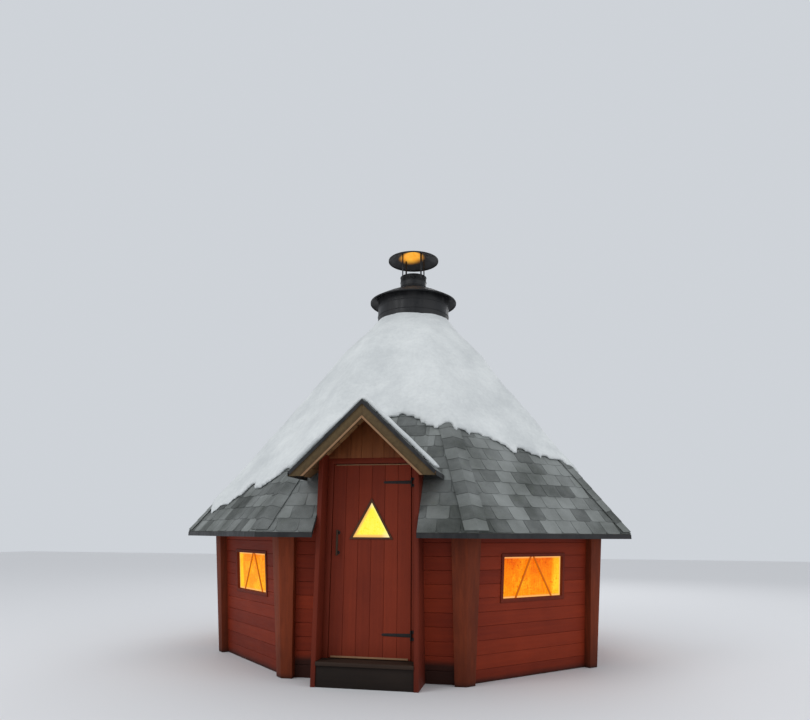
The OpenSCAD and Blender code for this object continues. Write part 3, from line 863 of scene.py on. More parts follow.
# %% Pull
PULL_X, PULL_Y, PULL_Z, PULL_L = -LEAF_HALF + 0.060, -LEAF_FRONT - 0.045, LEAF_Z + 0.830, 0.220
half = [(0.0, 0.0), (0.006, 0.0), (0.0095, 0.003), (0.0105, 0.012), (0.0085, 0.024),
        (0.0095, 0.060), (0.011, PULL_L / 2)]
pull = lathe("pull", half + [(r, PULL_L - z) for r, z in half[-2::-1]], 20)
put(pull, Matrix.Translation((PULL_X, PULL_Y, PULL_Z)))
POST = [(0, 0), (0.0165, 0), (0.0165, 0.003), (0.008, 0.006),
        (0.006, 0.014), (0.006, 0.045), (0, 0.045)]
posts = []
for z in (0.025, PULL_L - 0.025):
    spot = Matrix.Translation((PULL_X, -LEAF_FRONT, PULL_Z + z))
    posts.append(put(lathe("post", POST, 16), spot @ OUT_OF_FRONT))
PULL_WOOD = timber("pull_wood", (0.085, 0.050, 0.030), (0.040, 0.022, 0.014), "Z", splash=0,
                   roughness=0.42)
fit(note(pull, 72), "door", "handle_wood", PULL_WOOD, "door_handle")
fit(note(joined("pull_posts", posts), 73), "door", "black_iron", IRON.material)

# %% [markdown]
# ## Roof boards
# Under the shingles the roof is boarded. From the open door one looks up at these boards, so
# each has its V joint on the lower face. They are stacked up the slope like the wall boards and
# then cut at the hips, the eave and the crown. The front side also makes room for the gable.

# %% Cuts of the main roof
DECK_T, FELT_T, ROOF_BOARD = 0.0201, 0.0022, 0.1145
FELT_BASE = -ROOF_T + DECK_T
SLOPE = (EAVE - CROWN) / math.cos(PITCH)
EAVE_HALF = EAVE * math.tan(HALF)
# Boards and shingles end this far inside the eaves and the gable's front
EDGE_IN = 0.002


def trim_hips(piece):
    """Cuts a layer of the front side at both hips."""
    for sign in (-1, 1):
        cut(piece, (0, 0, 0), (sign * math.cos(HALF), math.sin(HALF), 0))
    return piece


def trim_roof(piece, crown=CROWN):
    """Cuts a roof layer, still on the front side, at both hips, the eave and the crown."""
    cut(trim_hips(piece), (0, -EAVE + EDGE_IN, 0), (0, -1, 0))
    return cut(piece, (0, -crown, 0), (0, 1, 0))


def front_parts(piece, name):
    """Splits the front side's layer into left, right and the notched part above the gable."""
    parts = []
    for sign in (-1, 1):
        outer = twin(piece, name)
        parts.append(cut(outer, (sign * (BOX_HALF + SEAT), 0, 0), (-sign, 0, 0)))
    notched = []
    for sign in (-1, 1):
        half = twin(piece, name)
        cut(half, (0, 0, 0), (-sign, 0, 0))
        cut(half, (sign * BOX_HALF, 0, 0), (sign, 0, 0))
        down = (-sign * math.sin(GABLE_PITCH), 0, -math.cos(GABLE_PITCH))
        notched.append(cut(half, (0, 0, gable_under(0)), down))
    return parts + [joined(name, notched)]


print("roof slope", round(SLOPE, 3), "m, half an eave", round(EAVE_HALF, 3), "m")

# %% Boards of the main roof
DECK_START, DECK_PAST = -0.03, 0.05
deck = block("deck", (-EAVE_HALF - DECK_PAST, DECK_START, -ROOF_T),
             (EAVE_HALF + DECK_PAST, DECK_START + ROOF_BOARD - JOINT, FELT_BASE))
bevel(deck, runs("X", where=lambda start: start.z < -ROOF_T + 0.001), 0.005, 1)
repeat(deck, math.ceil(SLOPE / ROOF_BOARD) + 2, (0, ROOF_BOARD, 0))
trim_roof(put(deck, ROOF))
print("roof boards", len(deck.data.polygons), "faces")
for k, wall in enumerate(WALLS, 1):
    node = wall.replace("wall", "roof")
    boards = put(note(twin(deck, "deck_" + node), 80 + k, ROOF.inverted(), (5.1 * k, 0, 0)), side(k))
    fit(boards, "hut", "bare_timber", INNER_WOOD, node)
FRONT_ROOFS = ("roof_front_left", "roof_front_right", "roof_front_top")
for piece, node in zip(front_parts(deck, "deck"), FRONT_ROOFS):
    boards = note(joined("deck_" + node, [piece]), 88, ROOF.inverted())
    fit(boards, "hut", "bare_timber", INNER_WOOD, node)
bpy.data.objects.remove(deck)

# %% [markdown]
# ## Shingles
# The roof is covered with mineral felt shingles, laid from the eave up so that each course
# overlaps the one below. One tab is a thin block with clipped lower corners. Courses are
# shifted by half a tab. Each tab's small random lift keeps the rows from looking printed. Frost
# lies thinly over them, more of it the higher they are.

# %% Shingle courses
TAB_W, COURSE, TAB_T = 0.200, 0.142, 0.0034
TAB_GAP, TAB_LAP, TAB_CLIP = 0.003, 0.045, 0.022


def shingles(name, low_x, high_x, slope, seed):
    """A field of tabs in a slope's frame: x across, y up the slope, z outwards, from z = 0."""
    draw = random.Random(seed)
    tab = block("tab", (TAB_GAP, 0, 0), (TAB_W - TAB_GAP, COURSE + TAB_LAP, TAB_T))
    bevel(tab, runs("Z", 0.001, lambda start: start.y < 0.001), TAB_CLIP)
    lean = Matrix.Rotation(-TAB_T * 1.25 / COURSE, 4, "X")
    tabs = []
    for row in range(math.ceil(slope / COURSE)):
        start = low_x - TAB_W * (0.5 if row % 2 else 1) * 0.999
        while start < high_x:
            lift = TAB_T * 1.3 + draw.uniform(0, 0.0012)
            turn = Matrix.Rotation(draw.uniform(-0.006, 0.006), 4, "Z") @ lean
            along = row * COURSE + draw.uniform(-0.003, 0.003)
            tabs.append(twin(tab, "tab", Matrix.Translation((start, along, lift)) @ turn))
            start += TAB_W
    bpy.data.objects.remove(tab)
    print(name, len(tabs), "tabs")
    return joined(name, tabs)


# %% Mineral felt with frost
SHINGLE = Paint("mineral_felt", 0.93)
place, tone = SHINGLE.place(), SHINGLE.kept("tone")
grains = SHINGLE.clouds(place, 420, 2, 0.7)
blotch = SHINGLE.clouds(place, 9, 4, 0.65)
stone = (grains * 0.9 + tone * 0.45 + blotch * 0.3 - 0.35).between(0.1, 0.8)
stone = SHINGLE.mix(stone, (0.020, 0.024, 0.021), (0.085, 0.096, 0.086))
green = (blotch * 0.8 + SHINGLE.clouds(place, 33, 3, 0.6) * 0.5).between(0.72, 0.9)
stone = SHINGLE.mix(green * 0.4, stone, (0.045, 0.060, 0.022))
higher = (SHINGLE.part(place, "Z") - EAVE_Z) * 0.16
frost = SHINGLE.clouds(place, 2.1, 4, 0.6) * 0.9 + grains * 0.45 + tone * 0.22 + higher
frost = frost.between(0.50, 1.25) * 0.45
SHINGLE.set("Base Color", SHINGLE.mix(frost, stone, (0.50, 0.53, 0.53)))
SHINGLE.set("Roughness", grains * 0.2 + 0.78)
SHINGLE.bump(grains, 0.0012)
SHINGLE.bump(blotch, 0.0015)
print("felt made with", len(SHINGLE.tree.nodes), "nodes")

# %% Shingles of the main roof
reach, into_drum = EAVE_HALF + 0.02, 0.02
field = shingles("field", -reach, reach, SLOPE, 5)
put(field, ROOF @ Matrix.Translation((0, EDGE_IN, FELT_BASE)))
felt = put(block("felt", (-reach, 0, FELT_BASE), (reach, SLOPE + 0.1, FELT_BASE + FELT_T)), ROOF)
field = trim_roof(joined("field", [field, felt]), DRUM_R * math.cos(HALF) - into_drum)
print("one side", len(field.data.polygons), "faces")
fields = [put(note(twin(field, "field"), 90 + k), side(k)) for k in range(1, SIDES)]
fields += [note(part, 99) for part in front_parts(field, "field")]
bpy.data.objects.remove(field)
fit(joined("shingles", fields), "hut", "shingle", SHINGLE.material)

# %% [markdown]
# At each hip two slopes meet, and folded caps cover the cut ends of the tabs. A cap is the same
# thin tab with a fold down its middle, and it too overlaps the one below.

# %% Hip caps
FOLD_HALF, FOLD_T, FOLD_LAP, FOLD_LIFT, FOLD_LEAN = 0.105, 0.0032, 0.05, 0.0105, 0.030
HIP_EAVE = EAVE / math.cos(HALF)
hip_tilt = math.atan(math.tan(PITCH) * math.cos(HALF))
HIP = Matrix.Translation((0, -HIP_EAVE, EAVE_Z)) @ Matrix.Rotation(hip_tilt, 4, "X")
side_normal = Vector((-math.sin(PITCH) * math.sin(HALF), -math.sin(PITCH) * math.cos(HALF),
                      math.cos(PITCH)))
hip_out = Vector((0, -math.sin(hip_tilt), math.cos(hip_tilt)))
fold = abs(side_normal.x) / side_normal.dot(hip_out)
cap = block("cap", (-FOLD_HALF, 0, 0), (FOLD_HALF, COURSE + FOLD_LAP, FOLD_T))
begin_edit(cap, "EDGE", runs("X", 0.1))
bpy.ops.mesh.subdivide(number_cuts=3)
end_edit()
for vert in cap.data.vertices:
    vert.co.z -= abs(vert.co.x) * fold
caps = []
hip_length = (EAVE - DRUM_R * math.cos(HALF)) / math.cos(HALF) / math.cos(hip_tilt)
draw = random.Random(7)
for row in range(math.ceil(hip_length / COURSE)):
    lift = Matrix.Translation((draw.uniform(-0.002, 0.002), row * COURSE + 0.004, FOLD_LIFT))
    caps.append(twin(cap, "cap", HIP @ lift @ Matrix.Rotation(-FOLD_LEAN, 4, "X")))
bpy.data.objects.remove(cap)
ridge = joined("ridge", caps)
for sign in (-1, 1):
    cut(ridge, (0, -HIP_EAVE + EDGE_IN, 0), (sign * math.sin(HALF), -math.cos(HALF), 0))
cut(ridge, (0, -DRUM_R + into_drum, 0), (0, 1, 0))
hips = [put(note(twin(ridge, "hip"), 110 + k), side(k + 0.5)) for k in range(SIDES)]
bpy.data.objects.remove(ridge)
fit(joined("hip_caps", hips), "hut", "shingle", SHINGLE.material)

# %% [markdown]
# ## The gable over the door
# The little gable roof is built like the main one: boards, felt and shingles, here with the
# boards running along the ridge. Both slopes are worked in a frame of their own and then cut at
# the ridge, at the front and where they meet the main roof.


# %% Gable slopes
def gable_slope(sign):
    """The frame of a gable slope: x along the ridge, y up the slope, z outwards."""
    run, rise = math.cos(GABLE_PITCH), math.sin(GABLE_PITCH)
    foot = RIDGE_Z - GABLE_HALF * math.tan(GABLE_PITCH)
    return Matrix(((0, -sign * run, sign * rise, sign * GABLE_HALF), (sign, 0, 0, 0),
                   (0, rise, run, foot), (0, 0, 0, 1)))


GABLE_ROWS, GABLE_BACK = 8, 1.35
GABLE_SLOPE = GABLE_HALF / math.cos(GABLE_PITCH)
GABLE_BOARD = GABLE_SLOPE / GABLE_ROWS
GABLE_BASE = -GABLE_T + DECK_T
BELOW_ROOF = (0, math.sin(PITCH), -math.cos(PITCH))


def trim_gable(piece):
    """Cuts a gable layer at the ridge, the front and the main roof."""
    sign = 1 if sum(v.co.x for v in piece.data.vertices) > 0 else -1
    cut(piece, (0, 0, 0), (-sign, 0, 0))
    cut(piece, (0, -GABLE_FRONT + EDGE_IN, 0), (0, -1, 0))
    cut(piece, (sign * (GABLE_HALF - EDGE_IN / 2), 0, 0), (sign, 0, 0))
    return cut(piece, (0, -EAVE, EAVE_Z), BELOW_ROOF)


print("gable slope", round(GABLE_SLOPE, 3), "m, boards", round(GABLE_BOARD, 4), "m wide")

# %% Boards and shingles of the gable
gable_felt = []
for sign, node in ((-1, "gable_roof_left"), (1, "gable_roof_right")):
    slope = gable_slope(sign)
    ends = sorted((sign * -GABLE_FRONT, sign * -GABLE_BACK))
    boards = block("boards", (ends[0], 0, -GABLE_T), (ends[1], GABLE_BOARD - JOINT, GABLE_BASE))
    bevel(boards, runs("X", where=lambda start: start.z < -GABLE_T + 0.001), 0.005, 1)
    repeat(boards, GABLE_ROWS, (0, GABLE_BOARD, 0))
    boards = joined("boards_" + node, [trim_gable(put(boards, slope))])
    fit(note(boards, 120 + sign, slope.inverted()), "hut", "bare_timber", INNER_WOOD, node)
    cover = shingles("cover", ends[0] - 0.05, ends[1] + 0.05, GABLE_SLOPE, 6 + sign)
    put(cover, slope @ Matrix.Translation((0, 0, GABLE_BASE)))
    felt = block("felt", (ends[0], 0, GABLE_BASE), (ends[1], GABLE_SLOPE + 0.02, GABLE_BASE + FELT_T))
    cover = trim_gable(joined("cover", [cover, put(felt, slope)]))
    gable_felt.append(note(cover, 123 + sign))
fit(joined("gable_shingles", gable_felt), "hut", "shingle", SHINGLE.material)

# %% [markdown]
# Upright boards close the gable above the door head. Barge boards cover the roof's front edge,
# each with a pale batten along its lower edge.

# %% Gable boards, barges and battens
UPRIGHT_T, UPRIGHTS = 0.025, 8
UPRIGHT = 2 * (BOX_HALF - SIDE_T) / UPRIGHTS
board = block("board", (-4 * UPRIGHT, -LEAF_FRONT, HEAD_TOP),
              (-3 * UPRIGHT - JOINT, -LEAF_FRONT + UPRIGHT_T, gable_under(0)))
soften(board, 0.003, 1)
repeat(board, UPRIGHTS, (UPRIGHT, 0, 0))
for sign in (-1, 1):
    cut(board, (0, 0, gable_under(0) - SEAT), (sign * math.sin(GABLE_PITCH), 0, math.cos(GABLE_PITCH)))
fit(note(joined("gable_boards", [board]), 130), "hut", "bare_timber", GABLE_WOOD, "gable_board")
BARGE_FACE = -GABLE_FRONT + 0.012
BATTEN_W, BATTEN_T = 0.017, 0.010
battens = []
for sign, node in ((-1, "barge_left"), (1, "barge_right")):
    slope = gable_slope(sign)
    barge = from_cad(node + "_board", node, 0.003, 132)
    fit(note(barge, 132, slope.inverted()), "hut", "brown_timber", BARGE_WOOD, node)
    low = -GABLE_T - BARGE_W
    ends = sorted((sign * (BARGE_FACE - BATTEN_T), sign * BARGE_FACE))
    batten = block("batten", (ends[0], -0.1, low), (ends[1], GABLE_SLOPE + 0.2, low + BATTEN_W))
    cut(put(batten, slope), (0, 0, 0), (-sign, 0, 0))
    cut(batten, (0, 0, gable_under(GABLE_HALF)), (0, 0, -1))
    battens.append(soften(batten, 0.0015, 1))
fit(note(joined("pale_battens", battens), 135), "hut", "bare_timber", BATTEN_WOOD)

# %% [markdown]
# The leaf has a pale moulding along its upper edge and a weather strip at its foot, which throws
# rain off in front of the threshold. Both are thin bars with a sloping top, screwed to the leaf.

# %% Weather strips on the door
STRIP_HALF = 0.335
weather = []
for low, tall, stand in ((LEAF_Z + LEAF_H - 0.0115, 0.010, 0.005), (LEAF_Z + 0.003, 0.014, 0.009)):
    high = low + tall
    strip = block("strip", (-STRIP_HALF, -LEAF_FRONT - stand, low), (STRIP_HALF, -LEAF_FRONT, high))
    bevel(strip, lambda edge: all(v.co.z > high - 0.001 and v.co.y < -LEAF_FRONT - 0.001
                                  for v in edge.verts), stand * 0.6)
    weather.append(soften(strip, 0.0008, 1))
fit(note(joined("weather_strips", weather), 136), "door", "bare_timber", BATTEN_WOOD)

# %% [markdown]
# ## Flue
# Drum, cone, pipe and cap are rolled from thin steel. Smoke has greyed the black sheet and rust
# has browned it in places. The fire lights the cap from below, so the sheet glows where it faces
# down near the middle of the cap, and nowhere else.

# %% Black sheet
DRUM_FOOT, DRUM_TOP, CONE_R, CONE_RIM, CONE_H = 3.7345, 4.1300, 0.550, 4.0808, 0.190
PIPE_R, PIPE_TOP, CAP_R, CAP_Z, CAP_H = 0.166, 4.4408, 0.326, 4.6748, 0.125
CONE_TOP, CAP_TOP = CONE_RIM + CONE_H, CAP_Z + CAP_H
SHEET = Paint("black_sheet", 0.42, Specular_IOR_Level=0.25, Emission_Strength=1.0)
place = SHEET.place()
soot = SHEET.clouds(place, 7, 5, 0.65)
streaks = SHEET.clouds(SHEET.scaled(place, (22, 22, 1.4)), 1, 4, 0.6)
dull = (soot * 0.6 + streaks * 0.5).between(0.35, 0.75)
colour = SHEET.mix(dull, (0.010, 0.0105, 0.012), (0.028, 0.028, 0.029))
rust = (SHEET.clouds(place, 19, 4, 0.7) * 0.8 + streaks * 0.3).between(0.66, 0.8) * 0.4
SHEET.set("Base Color", SHEET.mix(rust, colour, (0.065, 0.030, 0.017)))
SHEET.set("Roughness", dull * 0.35 + rust * 0.3 + 0.3)
SHEET.bump(soot, 0.0006)
SHEET.bump(streaks, 0.0003)
off_middle = SHEET.apart(SHEET.scaled(place, (1, 1, 0)), (-0.03, 0.03, 0))
lit = (SHEET.part(place, "Z") > CAP_Z - 0.025) * (1 - (off_middle - soot * 0.03).between(0.06, 0.17))
flicker = SHEET.clouds(place, 11, 3, 0.6)
ember = SHEET.mix(flicker.between(0.2, 0.7), (1.0, 0.33, 0.014), (1.0, 0.50, 0.045))
facing = SHEET.part(SHEET.node("ShaderNodeNewGeometry", out="Normal"), "Z")
SHEET.set("Emission Color", SHEET.mix(lit * (1 - facing.between(-0.5, 0.0)), (0, 0, 0), ember))
print("sheet made with", len(SHEET.tree.nodes), "nodes")

# %% [markdown]
# Each sheet is a profile spun round the axis, with the sheet's two faces, a folded rim and a
# swaged bead where the maker stiffened it. A lapped seam with rivets closes drum and pipe.


# %% Sheet pieces
SHEET_T, SHEET_STEPS = 0.003, 96


def ring_bead(radius, z, size=0.005):
    """Outline points of a half-round bead that stands out from a vertical sheet."""
    turns = [math.radians(a) for a in range(0, 181, 30)]
    return [(radius + size * math.sin(a), z - size * math.cos(a)) for a in turns]


def rolled_rim(radius, z):
    """Outline points of the rim that is rolled under a sheet's outer edge, from above."""
    return ring_bead(radius - 0.004, z - 0.010, 0.004)[::-1]


def sheet_ring(name, radius, low, high, beads):
    """A rolled sheet with beads round it."""
    outside = [(radius, low), *(spot for z in beads for spot in ring_bead(radius, z)), (radius, high)]
    inside = [(radius - SHEET_T, high), (radius - SHEET_T, low), (radius, low)]
    return lathe(name, outside + inside, SHEET_STEPS)


def seam(radius, low, high, turn, rivets):
    """A lapped joint up the side of a rolled sheet, with rivets."""
    face = -radius - 0.0022
    pieces = [soften(block("lap", (-0.016, face, low), (0.016, -radius + 0.004, high)), 0.0008, 1)]
    for step in range(rivets):
        z = low + (step + 0.5) * (high - low) / rivets
        pieces.append(twin(rivet, "rivet", Matrix.Translation((0, face, z)) @ OUT_OF_FRONT))
    return put(joined("seam", pieces), Matrix.Rotation(turn, 4, "Z"))


def fit_sheet(name, pieces, seed, *nodes):
    """Joins the parts of one sheet-metal piece and hands it over in black."""
    fit(note(joined(name, pieces), seed), "hut", "black_sheet", SHEET.material, *nodes)


rivet = dome("rivet", 0.006, 0.0025)

# %% Drum and cone
beads = (DRUM_FOOT + 0.012, DRUM_FOOT + 0.15, DRUM_TOP - 0.13)
drum = sheet_ring("drum", DRUM_R, DRUM_FOOT, DRUM_TOP, beads)
fit_sheet("drum", [drum, seam(DRUM_R, DRUM_FOOT, DRUM_TOP, 2.4, 7)], 140, "flue_drum")
CONE_BULGE = 0.06
rise = [(CONE_R - (CONE_R - PIPE_R) * t, CONE_RIM + CONE_H * (t + CONE_BULGE * math.sin(math.pi * t)))
        for t in (1, 0.85, 0.65, 0.45, 0.25, 0.1, 0)]
outer = [(r, z + 0.0025) for r, z in rise]
inner = [(r - 0.002, z - 0.0005) for r, z in rise[::-1]]
rim = [(CONE_R + 0.0005, CONE_RIM - 0.004), *rolled_rim(CONE_R, CONE_RIM), (CONE_R - 0.004, CONE_RIM)]
profile = outer + rim + inner[1:]
fit_sheet("cone", [lathe("cone", profile + [profile[0]], SHEET_STEPS)], 141, "flue_cone")

# %% Pipe with its collar
PIPE_FOOT, COLLAR_IN = CONE_TOP - 0.057, PIPE_R + 0.0005
beads = (PIPE_FOOT + 0.085, PIPE_TOP - 0.006, PIPE_TOP - 0.075)
pipe = sheet_ring("pipe", PIPE_R, PIPE_FOOT, PIPE_TOP, beads)
collar = lathe("collar", [(COLLAR_IN, CONE_TOP), (PIPE_R + 0.012, CONE_TOP + 0.002),
                          (PIPE_R + 0.004, CONE_TOP + 0.012), (COLLAR_IN, CONE_TOP + 0.018),
                          (COLLAR_IN, CONE_TOP)], SHEET_STEPS)
lap = seam(PIPE_R, CONE_TOP + 0.02, PIPE_TOP - 0.09, 2.9, 3)
fit_sheet("pipe", [pipe, collar, lap], 142, "flue_pipe")

# %% [markdown]
# Four flat straps are riveted to the pipe and carry the rain cap, a shallow cone that bulges a
# little. Smoke leaves through the gap between them.

# %% Cap and its straps
straps = [from_cad("straps", "cap_straps", 0.0008, 143, 1)]
for turn in range(4):
    for z in (PIPE_TOP - 0.048, PIPE_TOP - 0.022):
        spot = Matrix.Translation((PIPE_R + 0.0043, 0, z)) @ Matrix.Rotation(math.pi / 2, 4, "Y")
        turned = Matrix.Rotation(math.radians(45 + 90 * turn), 4, "Z") @ spot
        straps.append(twin(rivet, "rivet", turned))
fit_sheet("straps", straps, 143, "cap_straps")
bpy.data.objects.remove(rivet)
CAP_BULGE, CAP_SKIN = 0.03, 0.0028
steps = [(CAP_R * (1 - t), CAP_Z + CAP_H * (t + CAP_BULGE * math.sin(math.pi * t)))
         for t in (0, 0.12, 0.3, 0.5, 0.7, 0.86, 0.95, 1)]
top = [(r, min(z + CAP_SKIN, CAP_TOP + CAP_SKIN)) for r, z in steps]
below = [(max(r - 0.003, 0), z) for r, z in steps[::-1]]
profile = [(0, CAP_TOP + CAP_SKIN), *top[-2::-1], *rolled_rim(CAP_R, CAP_Z),
           (CAP_R - 0.004, CAP_Z - 0.002), *below[1:]]
fit_sheet("cap", [lathe("cap", profile, SHEET_STEPS)], 144, "rain_cap")

# %% [markdown]
# ## Drip edges
# A dark strip of the same sheet covers the ends of the roof boards, along every eave, up the
# front of the gable and along its two lower edges. The front eave stops at the door box, where a
# small cover closes its cut end.

# %% Drip edges
# How far inside the CAD's edge a strip's outer and inner faces lie
STRIP_OUT, STRIP_BACK = 0.0004, 0.0018
# How far the feet and covers stand out past the gable's edge and the box, and how far they lap it
FOOT_OUT, FOOT_LAP, COVER_OUT, COVER_LAP = 0.0004, 0.0009, 0.0002, 0.0012
eave_end = EAVE_HALF + 0.01
strips = []
for k in range(SIDES):
    whole, left = (-eave_end, eave_end), (-eave_end, -BOX_HALF + COVER_LAP)
    for ends in (whole,) if k else (left, (-left[1], eave_end)):
        strip = block("strip", (ends[0], -EAVE + STRIP_OUT, EAVE_Z - 0.0465),
                      (ends[1], -EAVE + STRIP_BACK, EAVE_Z - 0.005))
        strips.append(put(trim_hips(strip), side(k)))
for sign in (-1, 1):
    ends = sorted((sign * (-GABLE_FRONT + STRIP_OUT), sign * (-GABLE_FRONT + STRIP_BACK)))
    rake = block("rake", (ends[0], -0.01, -GABLE_T - 0.005),
                 (ends[1], GABLE_SLOPE + 0.03, GABLE_BASE + 0.004))
    cut(put(rake, gable_slope(sign)), (0, 0, 0), (-sign, 0, 0))
    cut(rake, (sign * (GABLE_HALF + FOOT_OUT), 0, 0), (sign, 0, 0))
    edge = sorted((sign * (GABLE_HALF - FOOT_LAP), sign * (GABLE_HALF + FOOT_OUT)))
    low = gable_under(GABLE_HALF)
    foot = block("foot", (edge[0], -GABLE_FRONT + EDGE_IN, low - 0.004),
                 (edge[1], -1.5, low + DECK_T / math.cos(GABLE_PITCH) + 0.003))
    strips += [rake, cut(foot, (0, -EAVE, EAVE_Z), BELOW_ROOF)]
    ends = sorted((sign * (BOX_HALF - COVER_LAP), sign * (BOX_HALF + COVER_OUT)))
    cover = block("cover", (ends[0], -0.1, -ROOF_T - 0.003), (ends[1], 0.4, FELT_BASE + 0.004))
    cut(put(cover, ROOF), (0, -EAVE + STRIP_OUT, 0), (0, -1, 0))
    strips.append(cut(cover, (0, -BOX_FRONT - 0.0006, 0), (0, 1, 0)))
fit(note(soften(joined("drip_edges", strips), 0.0004, 1), 145), "hut", "black_sheet", SHEET.material)

# %% [markdown]
# ## Floor
# Planed boards lie side by side over the joists and are cut to the eight-sided plan.

# %% Floor boards
FLOOR_Z, FLOOR_T, PLANK, PLANK_JOINT = 0.140, 0.027, 0.120, 0.0012
FLOOR_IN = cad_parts["floor_boards"].dimensions.x / 2
plank = block("plank", (-FLOOR_IN, -FLOOR_IN, FLOOR_Z),
              (FLOOR_IN, -FLOOR_IN + PLANK - PLANK_JOINT, FLOOR_Z + FLOOR_T))
bevel(plank, runs("X", where=lambda start: start.z > FLOOR_Z + 0.02), 0.002, 1)
repeat(plank, math.ceil(2 * FLOOR_IN / PLANK), (0, PLANK, 0))
for k in range(SIDES):
    normal = side(k) @ Vector((0, -1, 0))
    cut(plank, normal * (FLOOR_IN - 0.0005), normal)
fit(note(joined("planks", [plank]), 150), "hut", "floor_wood", FLOOR_WOOD, "floor_boards")

# %% [markdown]
# ## Snow
# Settled snow is thick near the flue and ends in a broken edge above the eaves. The mass is cut
# from solids first. An outline prism, whose reach differs from side to side, is cut down to an
# eight-sided snow cone. A small drift in the left valley is added, and the roof is taken away.


# %% Cones over the eaves
def cone(name, pitch, lift=0.0):
    """A solid eight-sided cone over the eaves, as high as its pitch makes it."""
    tall = EAVE * math.tan(pitch)
    bpy.ops.object.select_all(action="DESELECT")
    bpy.ops.mesh.primitive_cone_add(vertices=SIDES, radius1=EAVE / math.cos(HALF), depth=tall,
                                    location=(0, 0, EAVE_Z + lift + tall / 2), rotation=(0, 0, HALF))
    return newest(name)


# %% Snow on the main roof
SNOW_REACH = (0.62, 0.73, 0.72, 0.84, 0.81, 0.92, 0.86, 0.93,
              0.84, 0.94, 0.87, 0.96, 0.9, 1, 0.87, 0.86)
SNOW_RISE, SNOW_LIFT, SNOW_LIMIT = 0.150, 0.030, 0.985
SNOW_PITCH = math.atan(math.tan(PITCH) + (SNOW_RISE - SNOW_LIFT) / EAVE)
DRIFT_R, DRIFT_PLACE = 0.085, (-0.45, -1.725, 1.985)
draw = random.Random(11)
bpy.ops.object.select_all(action="DESELECT")
bpy.ops.mesh.primitive_cylinder_add(vertices=192, radius=1, depth=4, location=(0, 0, 3.2))
snow = newest("snow")
offset = Vector((draw.random(), 0, 0)) * 10
for vert in snow.data.vertices:
    angle = math.atan2(vert.co.x, -vert.co.y) % (2 * math.pi)
    step, share = int(angle / HALF) % len(SNOW_REACH), angle / HALF % 1
    reach = SNOW_REACH[step] * (1 - share) + SNOW_REACH[(step + 1) % len(SNOW_REACH)] * share
    heading = Vector((math.sin(angle), math.cos(angle), 0))
    ripple = 0.035 * noise.noise(heading * 7 + offset)
    ripple += 0.020 * noise.noise(heading * 22 + offset)
    length = EAVE * min(reach + ripple, SNOW_LIMIT)
    vert.co.x, vert.co.y = vert.co.x * length, vert.co.y * length
take_away(snow, cone("snow_cone", SNOW_PITCH, SNOW_LIFT), "INTERSECT", "MANIFOLD")
bpy.ops.object.select_all(action="DESELECT")
bpy.ops.mesh.primitive_ico_sphere_add(subdivisions=3, radius=DRIFT_R, location=DRIFT_PLACE)
take_away(snow, newest("valley_drift"), "UNION", "MANIFOLD")
take_away(snow, cone("roof_cone", PITCH, -0.002), solver="MANIFOLD")
print("snow on the roof", len(snow.data.polygons), "faces")

# %% [markdown]
# On the gable the snow has mostly slid off. A slab is left on the left slope and a narrow strip
# along the front of the right one. The main roof's snow makes room for the gable first.

# %% Snow on the gable
SNOW_T, SNOW_BACK, SNOW_PAST = 0.042, 0.014, 0.02
slabs = []
for sign, wide in ((-1, 1.2), (1, 0.15)):
    front = -GABLE_FRONT + SNOW_BACK
    ends = sorted((sign * front, sign * (front + wide)))
    slab = block("slab", (ends[0], 0.003, -0.004), (ends[1], GABLE_SLOPE + SNOW_PAST, SNOW_T))
    put(slab, gable_slope(sign))
    slabs.append(cut(slab, (-sign * SNOW_PAST, 0, 0), (-sign, 0, 0)))
prism = block("prism", (-GABLE_HALF, -2.6, 1.0), (GABLE_HALF, -1.0, 2.6))
for sign in (-1, 1):
    cut(prism, (0, 0, RIDGE_Z), (sign * math.sin(GABLE_PITCH), 0, math.cos(GABLE_PITCH)))
take_away(snow, prism, solver="MANIFOLD")
for slab in slabs:
    take_away(snow, slab, "UNION", "MANIFOLD")
print("with the gable", len(snow.data.polygons), "faces")

# %% [markdown]
# A voxel remesh melts all this into one skin. Smoothing and a slow noise give it the soft,
# drifted look, with a round collar at the drum, a shoulder lower down and one dent. Only its
# upper faces move, so it keeps lying on the roof.

# %% One skin, and how far it swells
modify(snow, "REMESH", mode="VOXEL", voxel_size=0.0295)
modify(snow, "SMOOTH", factor=0.5, iterations=4)
DOWN_SIDES = [side(k) @ Vector((0, -1, 0)) for k in range(SIDES)]


def swell(spot):
    """How far the snow stands out at a point: slow waves, the collar, the shoulder, the dent."""
    height = 0.016 * noise.noise(spot * 1.7 + offset) + 0.007 * noise.noise(spot * 5.5 + offset)
    out = math.hypot(spot.x, spot.y)
    flat = max(outward.dot(spot) for outward in DOWN_SIDES)
    near = 1 - min(max((out - 0.5) / 0.4, 0), 1)
    height += 0.034 * math.exp(-((out - 0.82) / 0.24) ** 2) + near * (flat - 0.985 * out) * 0.8
    return height - 0.036 * math.exp(-((spot.x + 0.28) / 0.26) ** 2 - ((spot.y + 1.27) / 0.17) ** 2)


print("one skin", len(snow.data.polygons), "faces")

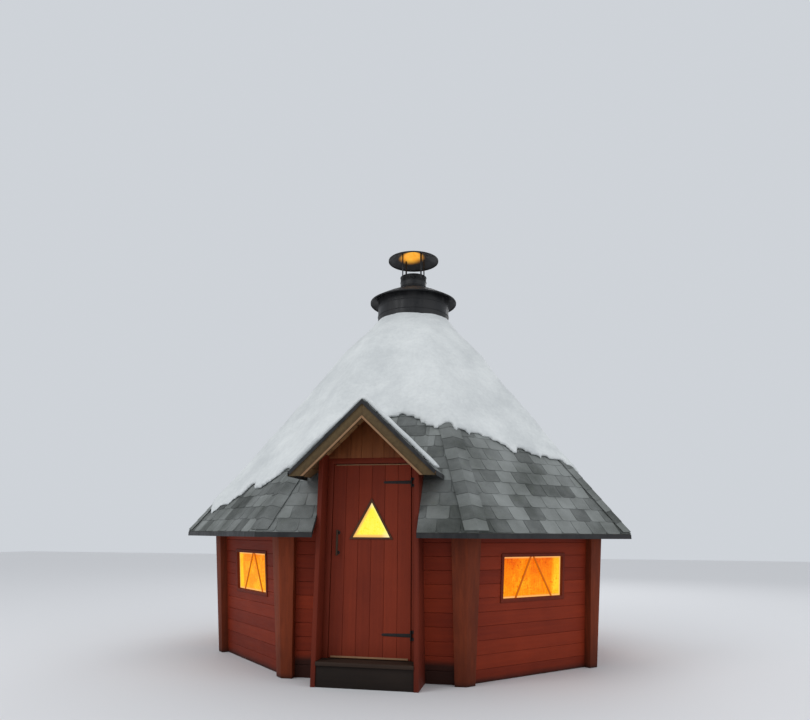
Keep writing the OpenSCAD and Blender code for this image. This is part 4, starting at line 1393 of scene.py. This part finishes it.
# %% Move the skin and make it snow
drifted = []
for vert in snow.data.vertices:
    drifted.extend(vert.co + vert.normal * (swell(vert.co) if vert.normal.z > 0.2 else 0))
snow.data.vertices.foreach_set("co", drifted)
alone(snow)
bpy.ops.object.shade_smooth()
SNOW = Paint("snow", 0.75)
place = SNOW.place()
drifts, crust = SNOW.clouds(place, 2.2, 4, 0.55), SNOW.clouds(place, 26, 4, 0.65)
grit = SNOW.clouds(place, 300, 2, 0.6)
shade = (drifts * 0.7 + crust * 0.3).between(0.25, 0.75)
SNOW.set("Base Color", SNOW.mix(shade, (0.52, 0.55, 0.56), (0.73, 0.76, 0.76)))
SNOW.set("Roughness", grit * 0.3 + 0.6)
SNOW.bump(crust, 0.004)
SNOW.bump(grit, 0.0012)
fit(note(snow, 160), "hut", "snow", SNOW.material, "roof_snow", "gable_snow")

# %% [markdown]
# ## Light, floor and background
# A pale floor, a pale background and large soft lamps show the paint about as it is mixed.

# %% Studio floor and background
bpy.ops.object.select_all(action="DESELECT")
bpy.ops.mesh.primitive_plane_add(size=60)
ground = newest("studio_floor")
floor_paint = Paint("studio_floor", 0.9)
floor_paint.set("Base Color", (0.70, 0.71, 0.73))
ground.data.materials.append(floor_paint.material)
ground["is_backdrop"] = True
world = bpy.data.worlds.new("studio")
bpy.context.scene.world = world
world.use_nodes = True
tree = world.node_tree
tree.nodes.clear()
rays, lamp, sky, seen, blend, out = (tree.nodes.new("ShaderNode" + kind) for kind in (
    "LightPath", "Background", "Background", "Math", "MixShader", "OutputWorld"))
lamp.inputs[0].default_value, lamp.inputs[1].default_value = (0.95, 0.97, 1.0, 1), 0.78
sky.inputs[0].default_value, sky.inputs[1].default_value = (0.62, 0.65, 0.69, 1), 1.0
seen.operation = "MAXIMUM"
for start, end in ((rays.outputs["Is Camera Ray"], seen.inputs[0]),
                   (rays.outputs["Is Glossy Ray"], seen.inputs[1]), (seen.outputs[0], blend.inputs[0]),
                   (lamp.outputs[0], blend.inputs[1]), (sky.outputs[0], blend.inputs[2]),
                   (blend.outputs[0], out.inputs[0])):
    tree.links.new(start, end)
print("background", [round(v, 2) for v in sky.inputs[0].default_value[:3]])

# %% Lamps
AIM = Vector((0, 0, 1.6))
LAMPS = (("key", (-6.5, -9.0, 8.5), 330, 5), ("fill", (9.0, -5.0, 5.0), 150, 6),
         ("back", (2.0, 9.0, 8.0), 220, 6))
for name, place, power, size in LAMPS:
    bpy.ops.object.light_add(type="AREA", location=place)
    light = bpy.context.object
    light.name, light.data.energy, light.data.size = name, power, size
    light.rotation_euler = (AIM - Vector(place)).to_track_quat("-Z", "Y").to_euler()
    print(name, power, "W")
bpy.context.scene.view_settings.view_transform = "Standard"

# %% Sizes and finish
low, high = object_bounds()
print("visual box", [round(v, 3) for v in (*low, *high)])
